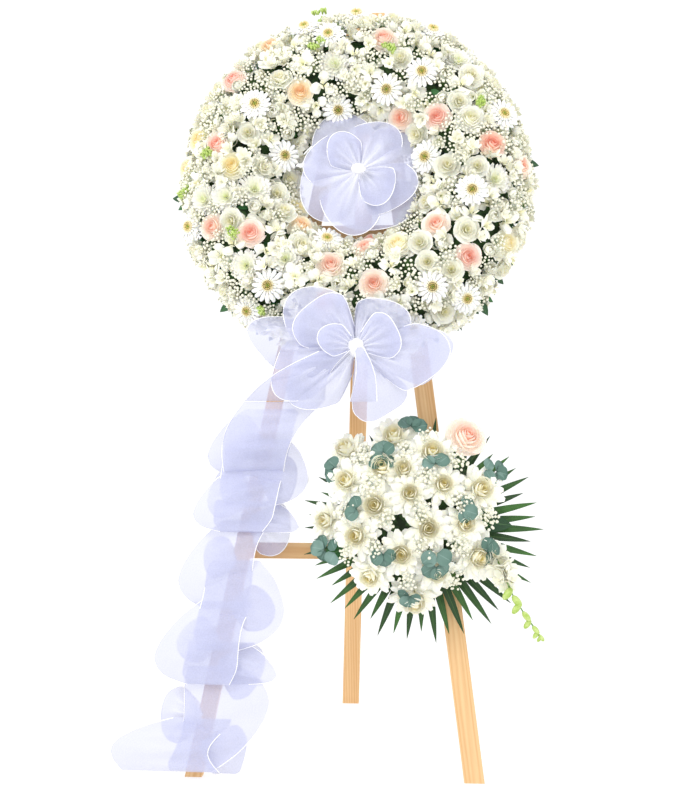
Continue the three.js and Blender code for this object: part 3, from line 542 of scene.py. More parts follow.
def thread(form, start, end, width, skin):
    """A thin three-sided stem between two points."""
    line = Vector(end) - Vector(start)
    place = aim((Vector(start) + Vector(end)) / 2, line)
    made = bmesh.ops.create_cone(
        form, segments=3, radius1=width / 2, radius2=width / 3, depth=line.length, matrix=place
    )
    coat(form, made["verts"], (0.5, 0.5, 0, 1), skin)


def gypsophila(form, seed):
    """A sprig of baby's breath about 46 mm across, in millimetres: round white florets on hair-thin stems."""
    rng = random.Random(seed)
    for i in range(15):
        turn, out = math.tau * (i * 0.618), 22 * math.sqrt((i + 0.6) / 15)
        spot = Vector((out * math.cos(turn), out * math.sin(turn), rng.uniform(4, 15) - out * 0.2))
        ball(form, spot, rng.uniform(3.2, 4.3), 0.85)
        thread(form, spot * 0.15 + Vector((0, 0, -16)), spot, 0.9, 1)


def lime_sprig(form, seed):
    """A tip of closed green buds, in millimetres."""
    rng = random.Random(seed)
    for i in range(8):
        turn, out = math.tau * i * 0.618, 10 * math.sqrt((i + 0.5) / 8)
        spot = Vector((out * math.cos(turn), out * math.sin(turn), 14 - out * 0.7 + rng.uniform(-3, 3)))
        ball(form, spot, rng.uniform(2.6, 3.8), 1.7, (6, 5))


def white_bud(form):
    """A closed pointed bud, one unit long."""
    ball(form, (0, 0, 0.3), 0.26, 1.9, (7, 6))


# ---------------------------------------------------------------- the ring of flowers
def ring_spot(clock, turn, lift=0.0):
    """A spot on the ring's skin and its outward direction.

    turn is 0 at the hole, 90 in front and 180 at the rim.
    """
    around, over = math.radians(clock), math.radians(turn)
    rim = max(0.0, -math.cos(over))
    fuller = RIM_FULLER + TOP_FULLER * max(0.0, math.cos(around)) ** 2
    reach = RING_MIDDLE - RING_HALF * math.cos(over) + rim * fuller
    sideways = Vector((math.sin(around), 0, math.cos(around)))
    out = (-math.cos(over) / RING_HALF * sideways + math.sin(over) / RING_SWELL * FRONT).normalized()
    point = sideways * reach + Vector((0, RING_WAIST - RING_SWELL * math.sin(over), RING_UP))
    return point + out * lift, out


def turn_at(radius):
    """The turn over the section at which the ring's skin has a radius."""
    return math.degrees(math.acos(max(-0.985, min(0.985, (RING_MIDDLE - radius) / RING_HALF))))


def node_middle(name):
    """The middle of a CAD node in the easel's own frame."""
    node = frame["nodes"][name]
    to_easel = EASEL.inverted() @ node.matrix_world
    points = [to_easel @ vert.co for vert in node.data.vertices]
    return sum(points, Vector()) / len(points)


def seat_of(name):
    """The spot on the ring's skin where a named head sits, and its outward direction."""
    middle = node_middle(name)
    clock = math.degrees(math.atan2(middle.x, middle.z - RING_UP))
    return ring_spot(clock, turn_at(math.hypot(middle.x, middle.z - RING_UP)))


ROSE_TONES = ("blush", "pink", "coral", "blush", "blush", "blush", "pink", "pink", "peach")
MORE_TONES = ("cream", "pink", "peach", "blush", "yellow", "cream", "blush", "white")
NAMED_GERBERAS = 6
HEAD_ROOM = 33  # the radius that a named head keeps free
MORE_ROSES = 19
MORE_GERBERAS = 13
MORE_MUMS = 8
COLLAR_LEAVES = 64
LONG_LEAVES = 8
LIME_CLUSTERS = 7
TOP_LIME = 348  # clock angle of the cluster that stands up from the rim
SLOTS = {
    "blush": "rose_blush", "pink": "rose_pink", "coral": "rose_pink", "peach": "rose_peach",
    "cream": "rose_cream", "yellow": "rose_cream", "white": "cream_flowers",
}


def facing(out, front=0.45):
    """A direction between outwards and straight to the front."""
    return (out * (1 - front) + FRONT * front).normalized()


def tilted(direction, amount, rng):
    """A direction turned a little aside by chance."""
    aside = Vector([rng.uniform(-amount, amount) for _ in range(3)])
    return (direction + aside).normalized()


class Crowd:
    """Keeps the places that flower heads have taken, so that later ones find gaps."""

    def __init__(self):
        self.taken = []

    def take(self, point, radius):
        self.taken.append((point, radius))

    def free(self, point, radius, share):
        return all((point - p).length > share * (radius + r) for p, r in self.taken)


def ring_spots(rng, crowd, radius, wanted, share, turns, lift=0.0):
    """Random free spots over the ring's skin, at most as many as wanted."""
    found = 0
    for _ in range(wanted * 60):
        turn = rng.uniform(*turns)
        # the rim is longer than the hole's edge, so it takes more of them
        reach = RING_MIDDLE - RING_HALF * math.cos(math.radians(turn))
        if rng.random() > reach / (RING_MIDDLE + RING_HALF):
            continue
        clock = rng.uniform(0, 360)
        point, out = ring_spot(clock, turn, lift)
        if not crowd.free(point, radius, share):
            continue
        crowd.take(point, radius)
        found += 1
        yield point, out
        if found == wanted:
            return


def strew(form, rng, spots, models, sink, front, sway, sizes):
    """Stamps a flower at each spot: chosen, spun, sized and turned aside by chance, and sunk to its calyx."""
    for point, out in spots:
        way = tilted(facing(out, front), sway, rng) if sway else facing(out, front)
        place = aim(point - out * sink, way, rng.uniform(0, 6), rng.uniform(*sizes))
        stamp(form, rng.choice(models), place, rng.random())


def tuck(form, rng, blade, point, along, sizes):
    """Tucks a leaf in between the flowers: square to a direction, then tipped 60 degrees away from it."""
    turn = Matrix.Rotation(rng.uniform(0, 6), 4, "Z") @ Matrix.Rotation(math.radians(-60), 4, "X")
    stamp(form, blade, aim(point, along) @ turn @ Matrix.Scale(rng.uniform(*sizes), 4), rng.random())


def lay(form, blade, start, lean, size, chance):
    """Lays a leaf flat against the back of the flowers, pointing along lean."""
    upright = Matrix((lean.cross(BACK), lean, FRONT)).transposed().to_4x4()
    stamp(form, blade, Matrix.Translation(start) @ upright @ Matrix.Scale(size, 4), chance)


def ring_heads(skins, rng, crowd):
    """The roses, gerberas and spider chrysanthemums: the named ones first, the others in the gaps."""
    # forms, how far the calyx is sunk, and radii
    kinds = {
        "rose": (templates("spray_rose", spray_rose, 4), 20, (30, 33)),
        "gerbera": (templates("gerbera_form", gerbera, 3), 2, (36, 40)),
        "mum": (templates("mum_form", spider_mum, 2), 22, (38, 42)),
    }

    def seat(form, kind, spot, i):
        models, sink, sizes = kinds[kind]
        point, out = spot
        place = aim(point - out * sink, facing(out), rng.uniform(0, 6), rng.uniform(*sizes))
        stamp(form, models[i % len(models)], place, rng.random())

    roses = [f"wreath_rose_{i + 1}" for i in range(len(ROSE_TONES))]
    gerberas = [f"gerbera_{i + 1}" for i in range(NAMED_GERBERAS)]
    seats = {name: seat_of(name) for name in roses + gerberas + ["spider_mum"]}
    for point, _ in seats.values():
        crowd.take(point, HEAD_ROOM)
    for i, (name, tone) in enumerate(zip(roses, ROSE_TONES)):
        form = new_form()
        seat(form, "rose", seats[name], i)
        piece(f"wreath_rose_head_{i + 1}", form, [skins["rose"][tone]], SLOTS[tone], [name])
    for i, name in enumerate(gerberas):
        form = new_form()
        seat(form, "gerbera", seats[name], i)
        piece(f"{name}_head", form, skins["gerbera"], "gerbera_white", [name])
    form = new_form()
    seat(form, "mum", seats["spider_mum"], 0)
    piece("spider_mum_head", form, [skins["mum"]], "chrysanthemum_white", ["spider_mum"])

    gerberas, mums = new_form(), new_form()
    for i, spot in enumerate(ring_spots(rng, crowd, 35, MORE_GERBERAS, 1.15, (28, 156))):
        seat(gerberas, "gerbera", spot, i)
    by_tone = {tone: new_form() for tone in skins["rose"]}
    for i, spot in enumerate(ring_spots(rng, crowd, 29, MORE_ROSES, 1.08, (12, 166))):
        seat(by_tone[MORE_TONES[i % len(MORE_TONES)]], "rose", spot, i)
    for i, spot in enumerate(ring_spots(rng, crowd, 33, MORE_MUMS, 1.0, (30, 156))):
        seat(mums, "mum", spot, i)
    piece("ring_gerberas", gerberas, skins["gerbera"], "gerbera_white")
    for tone, form in by_tone.items():
        if form.verts:
            piece(f"ring_roses_{tone}", form, [skins["rose"][tone]], SLOTS[tone])
    piece("ring_spider_mums", mums, [skins["mum"]], "chrysanthemum_white")


def ring_blooms(skins, rng, crowd):
    """The small white flowers between the heads."""
    stars = templates("lily_form", lily, 4)
    tulips = templates("closed_bud_form", closed_bud, 3)
    form = new_form()
    spots = ring_spots(rng, crowd, 24, 46, 0.9, (8, 172))
    strew(form, rng, spots, templates("lisianthus_form", lisianthus, 5), 14, 0.3, 0.35, (24, 29))
    piece("ring_lisianthus", form, [skins["white"]], "cream_flowers", ["flower_ring"])

    form = new_form()
    strew(form, rng, ring_spots(rng, crowd, 22, 60, 0.86, (8, 174)), stars, 13, 0.2, 0.5, (25, 31))
    strew(form, rng, ring_spots(rng, crowd, 16, 34, 0.9, (8, 172)), tulips, 14, 0.2, 0.6, (19, 23))
    piece("ring_lilies", form, [skins["white"]], "cream_flowers")

    # more blooms deeper down fill what would be dark gaps
    form = new_form()
    spots = ring_spots(rng, Crowd(), 17, 230, 0.8, (10, 172), -16)
    strew(form, rng, spots, stars + tulips[:1], 12, 0.3, 0.5, (24, 30))
    piece("ring_lower_lilies", form, [skins["white"]], "cream_flowers")

    form = new_form()
    spots = ring_spots(rng, crowd, 13, 190, 0.84, (5, 176))
    strew(form, rng, spots, templates("gypsophila_form", gypsophila, 4), 6, 0.3, 0, (0.8, 1.05))
    piece("ring_gypsophila", form, skins["mist"], "gypsophila")

    bells = templates("freesia_form", freesia, 3)
    form = new_form()
    for point, out in ring_spots(rng, crowd, 11, 190, 0.82, (5, 176)):
        for _ in range(2):
            lean = Vector((rng.uniform(-0.8, 0.8), rng.uniform(-0.3, 0.3), rng.uniform(-0.8, 0.8)))
            place = aim(point + lean * 9 - out * 10, out + lean, rng.uniform(0, 6), rng.uniform(15, 20))
            stamp(form, rng.choice(bells), place, rng.random())
    piece("ring_freesias", form, [skins["white"]], "cream_flowers")


def ring_buds(skins, rng, crowd):
    """Clusters of green buds, one of them standing up from the rim, and a few pink tips at the top."""
    limes = templates("lime_form", lime_sprig, 2)
    form = new_form()
    clusters = list(ring_spots(rng, crowd, 9, LIME_CLUSTERS, 0.8, (40, 150)))
    top_point, top_out = ring_spot(TOP_LIME, 168)
    for point, out in clusters + [(top_point + top_out * 10, top_out)]:
        for _ in range(3):
            lean = Vector((rng.uniform(-12, 12), 0, rng.uniform(-12, 12)))
            place = aim(point + lean - out * 4, out, rng.uniform(0, 6), 1.0)
            stamp(form, rng.choice(limes), place, rng.random())
    piece("ring_lime_buds", form, [skins["lime"]], "orchid_bud")

    form = new_form()
    for clock in range(-4, 8, 3):
        point, out = ring_spot(clock, 150)
        place = aim(point - out * 8, out + Vector((0, 0, 0.6)), rng.uniform(0, 6), 0.8)
        stamp(form, limes[0], place, rng.random())
    piece("ring_pink_buds", form, [skins["rose"]["coral"]], "rose_pink")


def ring_bed():
    """The bed of foliage: the ring's section drawn in under the heads, hollow where the foam stands."""
    form = new_form()
    inner, outer, front, back = 203, 347, -78, -24
    shrink = 26
    steps = 18
    section = []
    for i in range(steps + 1):
        over = math.pi * i / steps
        radius = RING_MIDDLE - (RING_HALF - shrink) * math.cos(over)
        section.append((radius, RING_WAIST - (RING_SWELL - shrink) * math.sin(over)))
    section = [(section[0][0], back)] + section + [
        (section[-1][0], back), (outer, back), (outer, front), (inner, front), (inner, back)]
    corners = [form.verts.new((radius, depth, RING_UP)) for radius, depth in section]
    edges = [form.edges.new((corners[i], corners[(i + 1) % len(corners)])) for i in range(len(corners))]
    bmesh.ops.spin(form, geom=corners + edges, cent=(0, 0, RING_UP), axis=(0, 1, 0), angle=math.tau,
                   steps=110, use_merge=True)
    bmesh.ops.recalc_face_normals(form, faces=form.faces)
    for vert in form.verts:
        radius = math.hypot(vert.co.x, vert.co.z - RING_UP)
        if vert.co.y < back - 1 and (radius < inner - 2 or radius > outer + 2 or vert.co.y < front - 2):
            push = noise.noise(vert.co * 0.05) * 8 + noise.noise(vert.co * 0.17 + Vector((9, 2, 5))) * 5
            vert.co += vert.normal * push
    soften(form)
    form.transform(EASEL)
    return form


def ring_greenery(skins, rng):
    """Leaves among the flowers, the bed under them, and the collar behind them with its longer leaves."""
    blade = template("leaf_form", leaf)
    form = new_form()
    for point, out in ring_spots(rng, Crowd(), 9, 420, 0.9, (2, 178), -22):
        side = Vector((rng.uniform(-1, 1), rng.uniform(-1, 0.2), rng.uniform(-1, 1)))
        tuck(form, rng, blade, point, (side + out * 0.5).normalized(), (28, 40))
    piece("ring_leaves", form, [skins["leaf"]], "leaf_green")
    piece("ring_foliage_bed", ring_bed(), [skins["bed"]], "leaf_green")

    form = new_form()
    for i in range(COLLAR_LEAVES):
        around = math.radians(360 * i / COLLAR_LEAVES + rng.uniform(-3, 3))
        outward = Vector((math.sin(around), 0, math.cos(around)))
        start = outward * 350 + Vector((0, -24 + (i % 3) * 4, RING_UP))
        lean = (outward + Vector((rng.uniform(-0.25, 0.25), -0.02, rng.uniform(-0.25, 0.25)))).normalized()
        lay(form, blade, start, lean, rng.uniform(60, 78), rng.random())
    for i in range(LONG_LEAVES):
        around = math.tau * i / LONG_LEAVES + rng.uniform(0.5, 0.9)
        reach = rng.uniform(420, 440)
        outward = Vector((math.sin(around), 0, math.cos(around)))
        start = outward * (reach - 52) + Vector((0, -66, RING_UP))
        for slant, size in ((0.25, 62), (-0.35, 50)):
            lean = (outward + slant * outward.cross(FRONT)).normalized()
            lay(form, blade, start, lean, size, rng.random())
    piece("collar_leaves", form, [skins["leaf"]], "leaf_green", ["leaf_collar"])


def make_ring(skins):
    """The ring, from its large heads to the leaves behind it, all from one run of random draws."""
    rng = random.Random(11)
    crowd = Crowd()
    ring_heads(skins, rng, crowd)
    ring_blooms(skins, rng, crowd)
    ring_buds(skins, rng, crowd)
    ring_greenery(skins, rng)


# ---------------------------------------------------------------- the bouquet
GOLDEN = math.pi * (3 - math.sqrt(5))  # the turn from one floret of a sunflower to the next
REFLEXED_COUNT = 19
MIST_COUNT = 17
GUM_COUNT = 12
GUM_OWN = 2  # the sprig with a node of its own, at two o'clock
PALM_COUNT = 52
PALM_MIDDLE = DOME + Vector((24, 0, -34))
PALM_HALF = Vector((262, 0, 244))  # half the width and height of the fan
PALM_REACH = (1.0, 1.06, 0.95, 1.03)  # how uneven its leaflets are
BROAD_COUNT = 5
SMALL_LEAVES = 130
BED_DRAWN_IN = 62  # the bed is that much smaller than the dome of flowers
BED_BEHIND = 30


def on_dome(clock, share):
    """The x and height of a place on the bouquet, by clock angle and share of the way to its rim."""
    around = math.radians(clock)
    return DOME.x + DOME_HALF.x * share * math.sin(around), DOME.z + DOME_HALF.z * share * math.cos(around)


def spiral(count, reach, first=0.0):
    """Evenly spread places on the bouquet, from its middle out, as in a sunflower."""
    for i in range(count):
        yield on_dome(first + math.degrees(GOLDEN) * i, reach * math.sqrt((i + 0.5) / count))


def dome_spot(x, up):
    """A spot on the bouquet's dome and its outward direction."""
    across, high = (x - DOME.x) / DOME_HALF.x, (up - DOME.z) / DOME_HALF.z
    rise = math.sqrt(max(0.04, 1 - across * across - high * high))
    out = Vector((across / DOME_HALF.x, -rise / DOME_HALF.y, high / DOME_HALF.z)).normalized()
    return Vector((x, DOME.y - DOME_HALF.y * rise, up)), out


def blade_between(form, start, end, width, arch, rng):
    """One palm leaflet: a long narrow blade, folded along its rib and arching."""
    tint = form.verts.layers.float_color["petal"]
    line = end - start
    side = line.cross(Vector((0, 1, 0))).normalized()
    chance = rng.random()
    for vert in bmesh.ops.create_grid(form, x_segments=2, y_segments=10, size=1)["verts"]:
        across, along = vert.co.x, (vert.co.y + 1) / 2
        half = width / 2 * min(1.0, 5 * along) ** 0.5 * (1 - along ** 3) + 0.3
        lift = Vector((0, -arch * math.sin(math.pi * along) - 0.25 * abs(across) * half, 0))
        point = start + line * along + side * across * half + lift
        vert.co = EASEL @ point
        vert[tint] = (along, (across + 1) / 2, chance, 1)


def bouquet_roses(skins, rng):
    """The reflexed roses and the round blush rose: the two named ones first."""
    crowd = Crowd()
    reflexed = templates("reflexed_form", reflexed_rose, 5)
    blush = node_middle("bouquet_rose_1")
    crowd.take(blush, 40)
    own = node_middle("bouquet_rose_2")
    own_spot, own_out = dome_spot(own.x, own.z)
    crowd.take(own_spot, 36)
    form = new_form()
    stamp(form, reflexed[4], aim(own_spot - own_out * 22, facing(own_out, 0.5), 2.0, 42), 0.6)
    piece("bouquet_rose_head_2", form, [skins["cream"]], "rose_cream", ["bouquet_rose_2"])
    form = new_form()
    round_rose = template("bouquet_spray_form", spray_rose, 9)
    stamp(form, round_rose, aim(blush, (0.35, -0.9, 0.35), 1.0, 45), 0.4)
    piece("bouquet_rose_head_1", form, [skins["rose"]["blush"]], "rose_blush", ["bouquet_rose_1"])

    form = new_form()
    for i, (x, up) in enumerate(spiral(REFLEXED_COUNT, 1.0)):
        point, out = dome_spot(x, up)
        size = 46 + 4 * (i % 3)
        if not crowd.free(point, size * 0.8, 0.62):
            continue
        crowd.take(point, size * 0.8)
        hang = 0.25 if up < DOME.z - 118 else 0.5
        place = aim(point - out * size * 0.5, facing(out, hang), rng.uniform(0, 6), size * 0.93)
        stamp(form, reflexed[i % 5], place, rng.random())
    piece("bouquet_reflexed_roses", form, [skins["cream"]], "cream_flowers", ["bouquet_flowers"])


def bouquet_mist(skins, rng):
    """Gypsophila between the roses, two sprigs together."""
    sprigs = templates("mist_form", gypsophila, 3, 20)
    form = new_form()
    for x, up in spiral(MIST_COUNT, 0.84, 110):
        for _ in range(2):
            point, out = dome_spot(x + rng.uniform(-12, 12), up + rng.uniform(-12, 12))
            place = aim(point - out * 4, out, rng.uniform(0, 6), rng.uniform(0.85, 1.1))
            stamp(form, rng.choice(sprigs), place, rng.random())
    piece("bouquet_gypsophila", form, skins["mist"], "gypsophila")


def bouquet_gum(skins, rng):
    """Sprigs of gum: one or two pairs of round leaves, and one more leaf at the tip."""
    gum = template("gum_form", gum_leaf)
    rest, own = new_form(), new_form()
    for i in range(GUM_COUNT):
        clock = 360 * i / GUM_COUNT
        start, out = dome_spot(*on_dome(clock, (0.84, 0.5)[i % 2]))
        along = math.radians(clock + (15, -35, 25)[i % 3])
        pairs = 2 if i % 3 == 2 else 1
        run = Vector((math.sin(along), 0, math.cos(along)))
        run = (run - out * run.dot(out)).normalized()
        for k in range(pairs):
            spot = start + out * (6 + 2 * k) + run * 27 * k
            ends = (1, -1) if k < pairs - 1 else (1, -1, 0)
            for side in ends:
                place = aim(spot, tilted(out + FRONT * 0.6, 0.45, rng))
                toward = (place.inverted().to_3x3() @ (run + side * 1.5 * run.cross(out))).normalized()
                spin = Matrix.Rotation(math.atan2(-toward.x, toward.y), 4, "Z")
                place = place @ spin @ Matrix.Scale(rng.uniform(28, 38), 4)
                stamp(own if i == GUM_OWN else rest, gum, place, rng.random())
    piece("bouquet_gum_leaves", rest, [skins["gum"]], "gum_leaf")
    piece("eucalyptus_leaves", own, [skins["gum"]], "gum_leaf", ["eucalyptus_sprig"])


def palm_fan(skins, rng):
    """Palm leaflets behind the bouquet, spread from its middle to an oval."""
    form = new_form()
    for i in range(PALM_COUNT):
        around = math.tau * i / PALM_COUNT
        toward = Vector((PALM_HALF.x * math.sin(around), 0, PALM_HALF.z * math.cos(around)))
        tip = PALM_MIDDLE + toward * PALM_REACH[i % 4]
        inner = PALM_MIDDLE + toward * 0.3
        tip.y = -30 - 8 * (i % 3)
        inner.y = -40 - 6 * (i % 3)
        blade_between(form, inner, tip, 21, 14, rng)
    piece("palm_leaflets", form, [skins["palm"]], "leaf_green", ["palm_leaves"])


def bouquet_bed():
    """The bed of foliage under the flowers: a rough dome, shallow behind."""
    form = new_form()
    bmesh.ops.create_uvsphere(form, u_segments=48, v_segments=28, radius=1)
    for vert in form.verts:
        rough = 1 + 0.06 * noise.noise(vert.co * 5) + 0.03 * noise.noise(vert.co * 16)
        depth = vert.co.y * (DOME_HALF.y - BED_BEHIND if vert.co.y < 0 else BED_BEHIND)
        vert.co = Vector((
            DOME.x + vert.co.x * (DOME_HALF.x - BED_DRAWN_IN) * rough, DOME.y + depth * rough,
            DOME.z + vert.co.z * (DOME_HALF.z - BED_DRAWN_IN) * rough,
        ))
    soften(form)
    form.transform(EASEL)
    return form


def bouquet_greenery(skins, rng):
    """Broad leaves behind the roses, the bed, and small leaves between them."""
    blade = template("broad_leaf_form", leaf, 0.5, 0.2, 0.15)
    form = new_form()
    for i in range(BROAD_COUNT):
        clock = 360 * i / BROAD_COUNT + 25
        around = math.radians(clock)
        x, up = on_dome(clock, 0.66)
        lean = Vector((math.sin(around), -0.15, math.cos(around))).normalized()
        lay(form, blade, (x, -62, up), lean, 76 + 8 * (i % 2), rng.random())
    piece("bouquet_broad_leaves", form, [skins["leaf"]], "leaf_green")
    piece("bouquet_foliage_bed", bouquet_bed(), [skins["bed"]], "leaf_green")

    form = new_form()
    for _ in range(SMALL_LEAVES):
        angle, far = rng.uniform(0, math.tau), math.sqrt(rng.random()) * 0.86
        x = DOME.x + DOME_HALF.x * far * math.cos(angle)
        up = DOME.z + DOME_HALF.z * far * math.sin(angle)
        point, out = dome_spot(x, up)
        side = (out * 0.6 + Vector((rng.uniform(-1, 1), -0.2, rng.uniform(-1, 1)))).normalized()
        tuck(form, rng, blade, point - out * 40, side, (40, 60))
    piece("bouquet_leaves", form, [skins["leaf"]], "leaf_green")


def make_bouquet(skins):
    """The bouquet on the lower crossbar, from its roses to the leaves between them."""
    rng = random.Random(5)
    bouquet_roses(skins, rng)
    bouquet_mist(skins, rng)
    bouquet_gum(skins, rng)
    palm_fan(skins, rng)
    bouquet_greenery(skins, rng)


# the spray's stem follows the same points as its solid
SPRAY_ROUTE = [Vector(p) for p in ((258, -70, 560), (322, -112, 500), (364, -122, 408), (420, -112, 326))]
SPRAY_BLOOMS = ((0.34, 34), (0.44, 38), (0.52, 32))  # place along the stem and size
# places of the buds along the stem
SPRAY_BUDS = (0.6, 0.66, 0.72, 0.78, 0.84, 0.89, 0.94, 0.98, 1.0)


def route(points, t):
    """A point of a smooth curve through the points: t runs from 0 to 1."""
    spans = len(points) - 1
    i = min(int(t * spans), spans - 1)
    u = t * spans - i
    a, b, c, d = (points[max(0, min(spans, i + k))] for k in (-1, 0, 1, 2))
    square, cube = (2 * a - 5 * b + 4 * c - d) * u * u, (3 * b - a - 3 * c + d) * u ** 3
    return 0.5 * (2 * b + (c - a) * u + square + cube)


def make_spray(skins):
    """The drooping orchid spray: open flowers near its foot, closed green buds towards its tip."""
    rng = random.Random(3)
    form = new_form()
    steps = 14
    stem = [EASEL @ route(SPRAY_ROUTE, i / steps) for i in range(steps + 1)]
    for start, end in zip(stem, stem[1:]):
        thread(form, start, end, 4.5 * MM, 1)
    bloom = template("orchid_form", freesia, 7)
    for t, size in SPRAY_BLOOMS:
        spot = route(SPRAY_ROUTE, t)
        for k in range(3):
            side = Vector((math.cos(2.1 * k + 9 * t), -0.8, math.sin(2.1 * k + 9 * t)))
            stamp(form, bloom, aim(spot, side, rng.uniform(0, 6), size * 0.8), rng.random())
    bud = template("orchid_bud_form", white_bud)
    for face in bud.polygons:
        face.material_index = 2
    for i, t in enumerate(SPRAY_BUDS):
        side = Vector((1 if i % 2 else -1, -0.3, -1.3))
        stamp(form, bud, aim(route(SPRAY_ROUTE, t), side, 0, 34 - 2.2 * i), rng.random())
    piece("orchid_spray", form, [skins["white"], skins["stem"], skins["lime"]], "orchid_bud", ["bud_spray"])


# ---------------------------------------------------------------- organza bows and tail
def organza():
    """Nylon organza, lavender white: a stiff sheer weave, denser where it is gathered and whiter there
    through a painted highlight.
    """
    material, tree = blank("nylon_organza")
    tint = add(tree, "Attribute", attribute_name="petal")
    split = add(tree, "SeparateColor", {"Color": tint.outputs["Color"]})
    place = add(tree, "TexCoord")
    # the real threads are 0.3 mm apart; drawn ten times coarser so that the weave shows as a fine grain
    weave = add(tree, "TexNoise", {"Vector": place.outputs["Object"], "Scale": 1 / (3 * MM), "Detail": 1.0})
    slub = add(tree, "TexNoise", {"Vector": place.outputs["Object"], "Scale": 1 / (90 * MM), "Detail": 2.0})
    both = add(tree, "Math", {0: weave.outputs["Fac"], 1: slub.outputs["Fac"]}, operation="ADD")
    sheer = add(tree, "MapRange", {
        "Value": both.outputs[0], "From Min": 0.6, "From Max": 1.4, "To Min": 0.56, "To Max": 0.72,
    })
    gather = add(tree, "MapRange", {
        "Value": split.outputs["Red"], "From Min": 0.65, "From Max": 0.0, "To Max": 0.3,
    })
    cover = add(tree, "Math", {0: sheer.outputs[0], 1: gather.outputs[0]}, operation="ADD")
    # painted highlight: the cloth's colour whitens towards the knot, where the gathered folds catch the light
    tone = add(tree, "ValToRGB", {"Fac": split.outputs["Red"]}, stops=[
        (0.0, "#F6F7FE"), (0.8, "#C8CBE8"), (0.4, "#DDDFF3"),
    ])
    relief = add(tree, "Bump", {"Height": weave.outputs["Fac"], "Strength": 0.2, "Distance": 0.3 * MM})
    shade(tree, {
        "Base Color": tone.outputs["Color"], "Roughness": 0.55, "Alpha": cover.outputs[0],
        "Normal": relief.outputs[0], "Sheen Weight": 0.2,
    })
    return material


def edge_thread():
    """Wire-edged selvedge: a dense white satin overlock, brighter than the cloth."""
    material, tree = blank("satin_overlock_edge")
    place = add(tree, "TexCoord")
    stitch = add(tree, "TexNoise", {"Vector": place.outputs["Object"], "Scale": 1 / (4 * MM)})
    tone = add(tree, "ValToRGB", {"Fac": stitch.outputs["Fac"]}, stops=[(0.3, "#F7F7FD"), (0.7, "#FFFFFF")])
    shade(tree, {"Base Color": tone.outputs["Color"], "Roughness": 0.45})
    return material


def deep(points, depths):
    """Gives the (x, up) points of an edge their depth, from three depths at its start, middle and end."""
    start, middle, end = depths
    last = len(points) - 1
    found = []
    for i, (x, up) in enumerate(points):
        t = i / last
        depth = 2 * (t - 0.5) * (t - 1) * start + 4 * t * (1 - t) * middle + 2 * t * (t - 0.5) * end
        found.append(Vector((x, depth, up)))
    return found


WIRE = 2.8  # the wired edge with its overlock
CLOTH_CELLS = (56, 14)  # quads along and across a stretch of cloth
FLAT_TINT = 0.8  # how far from the gathers the tint of a flat length stands
FLOOR_GAP = 10  # the cloth ends just over the floor


